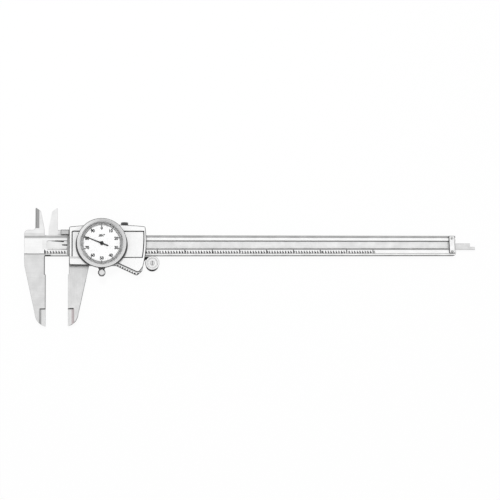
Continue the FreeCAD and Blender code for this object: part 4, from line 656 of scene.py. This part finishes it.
bezelShadowLook = {
    "inner": 21.0 * mm, "outer": 22.6 * mm, "swell": 1.0 * mm, "low": 6.93 * mm, "high": 7.12 * mm,
    "left": (160, 240), "right": (-60, 20), "steps": 48, "power": 0.7,
}


def dustSeals(look):
    # two dark crescents under the bezel, a painted shadow of the bezel on the cover; between their ends,
    # outer radius =
    # outer + swell * sin(pi * share of the way) ^ power
    for name, (first, last) in (("bezelShadowLeft", look["left"]), ("bezelShadowRight", look["right"])):
        along = np.linspace(0, 1, look["steps"])
        outer = look["outer"] + look["swell"] * np.sin(np.pi * along) ** look["power"]
        turn = np.radians(first + (last - first) * along)
        bentStrip(
            name, dialCentre, turn, look["inner"], outer, look["low"], look["high"], False,
            "blackOxide", "slide",
        )


dustSeals(bezelShadowLook)
rollerMarks = {
    "count": 26, "inner": 3.75 * mm, "outer": 4.15 * mm, "width": 0.4 * mm, "level": 1.4 * mm,
    "thick": 0.02 * mm, "padRadius": 5.9 * mm, "padDrop": 1.45 * mm, "padLow": -3.2 * mm,
    "padHigh": -2.12 * mm, "padSteps": 64, "padBevel": 0.15 * mm,
}


def rollerDetails(look):
    # a ring of punched marks in the roller's dish, and a dark round pad behind the roller, set lower,
    # whose edge shows below it
    turn = np.arange(look["count"]) * 2 * np.pi / look["count"]
    ray = np.stack([np.cos(turn), np.sin(turn)], axis=1)
    centre = np.array(rollerCentre[:2])
    bars(
        "rollerPunchMarks", centre + ray * look["inner"], centre + ray * look["outer"],
        np.full(look["count"], look["width"]), look["level"], look["thick"], "grayInk", "roller",
    )
    turn = np.arange(look["padSteps"]) * 2 * np.pi / look["padSteps"]
    levels = [(look["padLow"], 0), (look["padHigh"] - look["padBevel"], 0)]
    levels.append((look["padHigh"], look["padBevel"]))
    rings = []
    for level, inset in levels:
        radius = look["padRadius"] - inset
        x = centre[0] + np.cos(turn) * radius
        y = centre[1] - look["padDrop"] + np.sin(turn) * radius
        rings.append(np.stack([x, y, np.full_like(x, level)], axis=1))
    loft("rollerBackPad", rings, False, "blackOxide", "slide")


rollerDetails(rollerMarks)
gibBlockLook = {"x": (13.5, 20.7), "y": (59.75, 63.75), "low": 3.5, "high": 4.15, "bevel": 0.3}


def gibBlock(look):
    # a small bevelled block on the top rail: its outline at three levels, the last drawn in by the bevel
    rings = []
    levels = [(look["low"], 0), (look["high"] - look["bevel"], 0), (look["high"], look["bevel"])]
    for level, inset in levels:
        left, right = look["x"][0] + inset, look["x"][1] - inset
        low, high = look["y"][0] + inset, look["y"][1] - inset
        corners = [(left, low), (right, low), (right, high), (left, high)]
        rings.append([(x, y, level) for x, y in corners])
    loft("gibBlock", np.array(rings) * mm, False, "blockSteel", "slide")


gibBlock(gibBlockLook)
grooveLook = {
    "level": 0.8 * mm, "thick": 0.012 * mm, "starts": [(4.8, 53.95), (14.4, 50.5)],
    "ends": [(16.0, 53.5), (19.2, 50.25)], "widths": [(0.25, 1.0), (1.0, 1.35)],
}


def grooveMarks(look):
    # two dark marks on the groove's floor near the slide, a painted reflection of the slide, the upper
    # one tapering to the left
    parts = ("starts", "ends", "widths")
    starts, ends, widths = (np.array(look[part]) * mm for part in parts)
    bars("grooveDarkReflections", starts, ends, widths, look["level"], look["thick"], "ink", "beam")


grooveMarks(grooveLook)
print("small pieces done")

stageLook = {
    "size": 1.6, "gap": 0.01 * mm, "floor": (0.97, 0.97, 0.97), "keep": 0.935,
    "world": 0.50, "glossLow": 0.12, "glossStart": -0.1, "glossEnd": -1.05,
    "keyPower": 9.5, "keyPlace": (-0.05, 0.62, 1.25), "keySize": 0.3,
    "fillPower": 1.4, "fillPlace": (0.7, -0.5, 0.9), "fillSize": 0.8,
    "target": (0.12, 0.045, 0.0), "paperRough": 0.9,
}


def shownDirectly(paint):
    # 1 for rays from the camera, from glossy surfaces and through glass
    camera = paint.node("ShaderNodeLightPath", out="Is Camera Ray")
    glossy, through = paint.siblings(camera, "Is Glossy Ray", "Is Transmission Ray")
    return camera.math("MAXIMUM", glossy.math("MAXIMUM", through))


def makeFloor(look):
    level = cadBox[0][2] - look["gap"]
    half = look["size"]
    corners = [(-half, -half), (half, -half), (half, half), (-half, half)]
    points = [(x, y, level) for x, y in corners]
    mesh = bpy.data.meshes.new("floor")
    mesh.from_pydata(points, [], [(0, 1, 2, 3)])
    floor = bpy.data.objects.new("floor", mesh)
    bpy.context.scene.collection.objects.link(floor)
    paint = newPaint("floorPaper")
    paint.finish(Base_Color=look["floor"], Roughness=look["paperRough"])
    glow = paint.node("ShaderNodeEmission", {}, {"Color": (1, 1, 1), "Strength": 1.0})
    factor = shownDirectly(paint) * look["keep"]
    paper = Wire(paint, paint.shader.outputs[0])
    both = paint.node("ShaderNodeMixShader", {}, {0: factor, 1: paper, 2: glow})
    paint.feed(paint.tree.nodes["Material Output"].inputs["Surface"], both)
    mesh.materials.append(paint.owner)


def makeWorld(look):
    # white to the camera; metal sees a tent that darkens towards the front
    world = bpy.data.worlds.new("studio")
    bpy.context.scene.world = world
    paint = Paint(world)
    camera = paint.node("ShaderNodeLightPath", out="Is Camera Ray")
    glossy, through = paint.siblings(camera, "Is Glossy Ray", "Is Transmission Ray")
    front = paint.axes(paint.node("ShaderNodeTexCoord", out="Generated"))[1]
    bright = front.ramp(look["glossEnd"], look["glossStart"])
    tent = look["glossLow"] + bright * (1 - look["glossLow"])
    direct = camera.math("MAXIMUM", through)
    strength = direct + (1 - direct) * (glossy * tent + (1 - glossy) * look["world"])
    paint.finish(Color=(1, 1, 1), Strength=strength)


def areaLamp(name, place, power, size, target, mirrored):
    lamp = bpy.data.lights.new(name, "AREA")
    lamp.energy = power
    lamp.size = size
    holder = bpy.data.objects.new(name, lamp)
    bpy.context.scene.collection.objects.link(holder)
    holder.location = place
    aim = Vector(target) - Vector(place)
    holder.rotation_euler = aim.to_track_quat("-Z", "Y").to_euler()
    holder.visible_glossy = mirrored


makeFloor(stageLook)
makeWorld(stageLook)
for part, mirrored in (("key", False), ("fill", True)):
    place, power, size = (stageLook[part + word] for word in ("Place", "Power", "Size"))
    areaLamp(part, place, power, size, stageLook["target"], mirrored)

cameraLook = {
    "place": (46.7 * mm, -68.23 * mm, 991.98 * mm), "yaw": 8.043, "pitch": -6.5, "roll": 0.913,
    "focalPixels": 1083.5, "imagePixels": 500, "sensor": 36.0, "clipStart": 0.01,
}


def makeCamera(look):
    # the view from above, turned by yaw, pitch and roll from the world's own axes
    yaw, pitch, roll = (math.radians(look[part]) for part in ("yaw", "pitch", "roll"))
    turn = Matrix.Rotation(roll, 3, "Z")
    turn = turn @ Matrix.Rotation(pitch, 3, "X") @ Matrix.Rotation(yaw, 3, "Y")
    lens = bpy.data.cameras.new("camera")
    lens.sensor_width = look["sensor"]
    lens.lens = look["focalPixels"] / look["imagePixels"] * look["sensor"]
    lens.clip_start = look["clipStart"]
    holder = bpy.data.objects.new("camera", lens)
    bpy.context.scene.collection.objects.link(holder)
    holder.matrix_world = Matrix.Translation(Vector(look["place"])) @ turn.transposed().to_4x4()
    bpy.context.scene.camera = holder


makeCamera(cameraLook)
bpy.context.scene.view_settings.view_transform = "Standard"
print("stage and camera done")
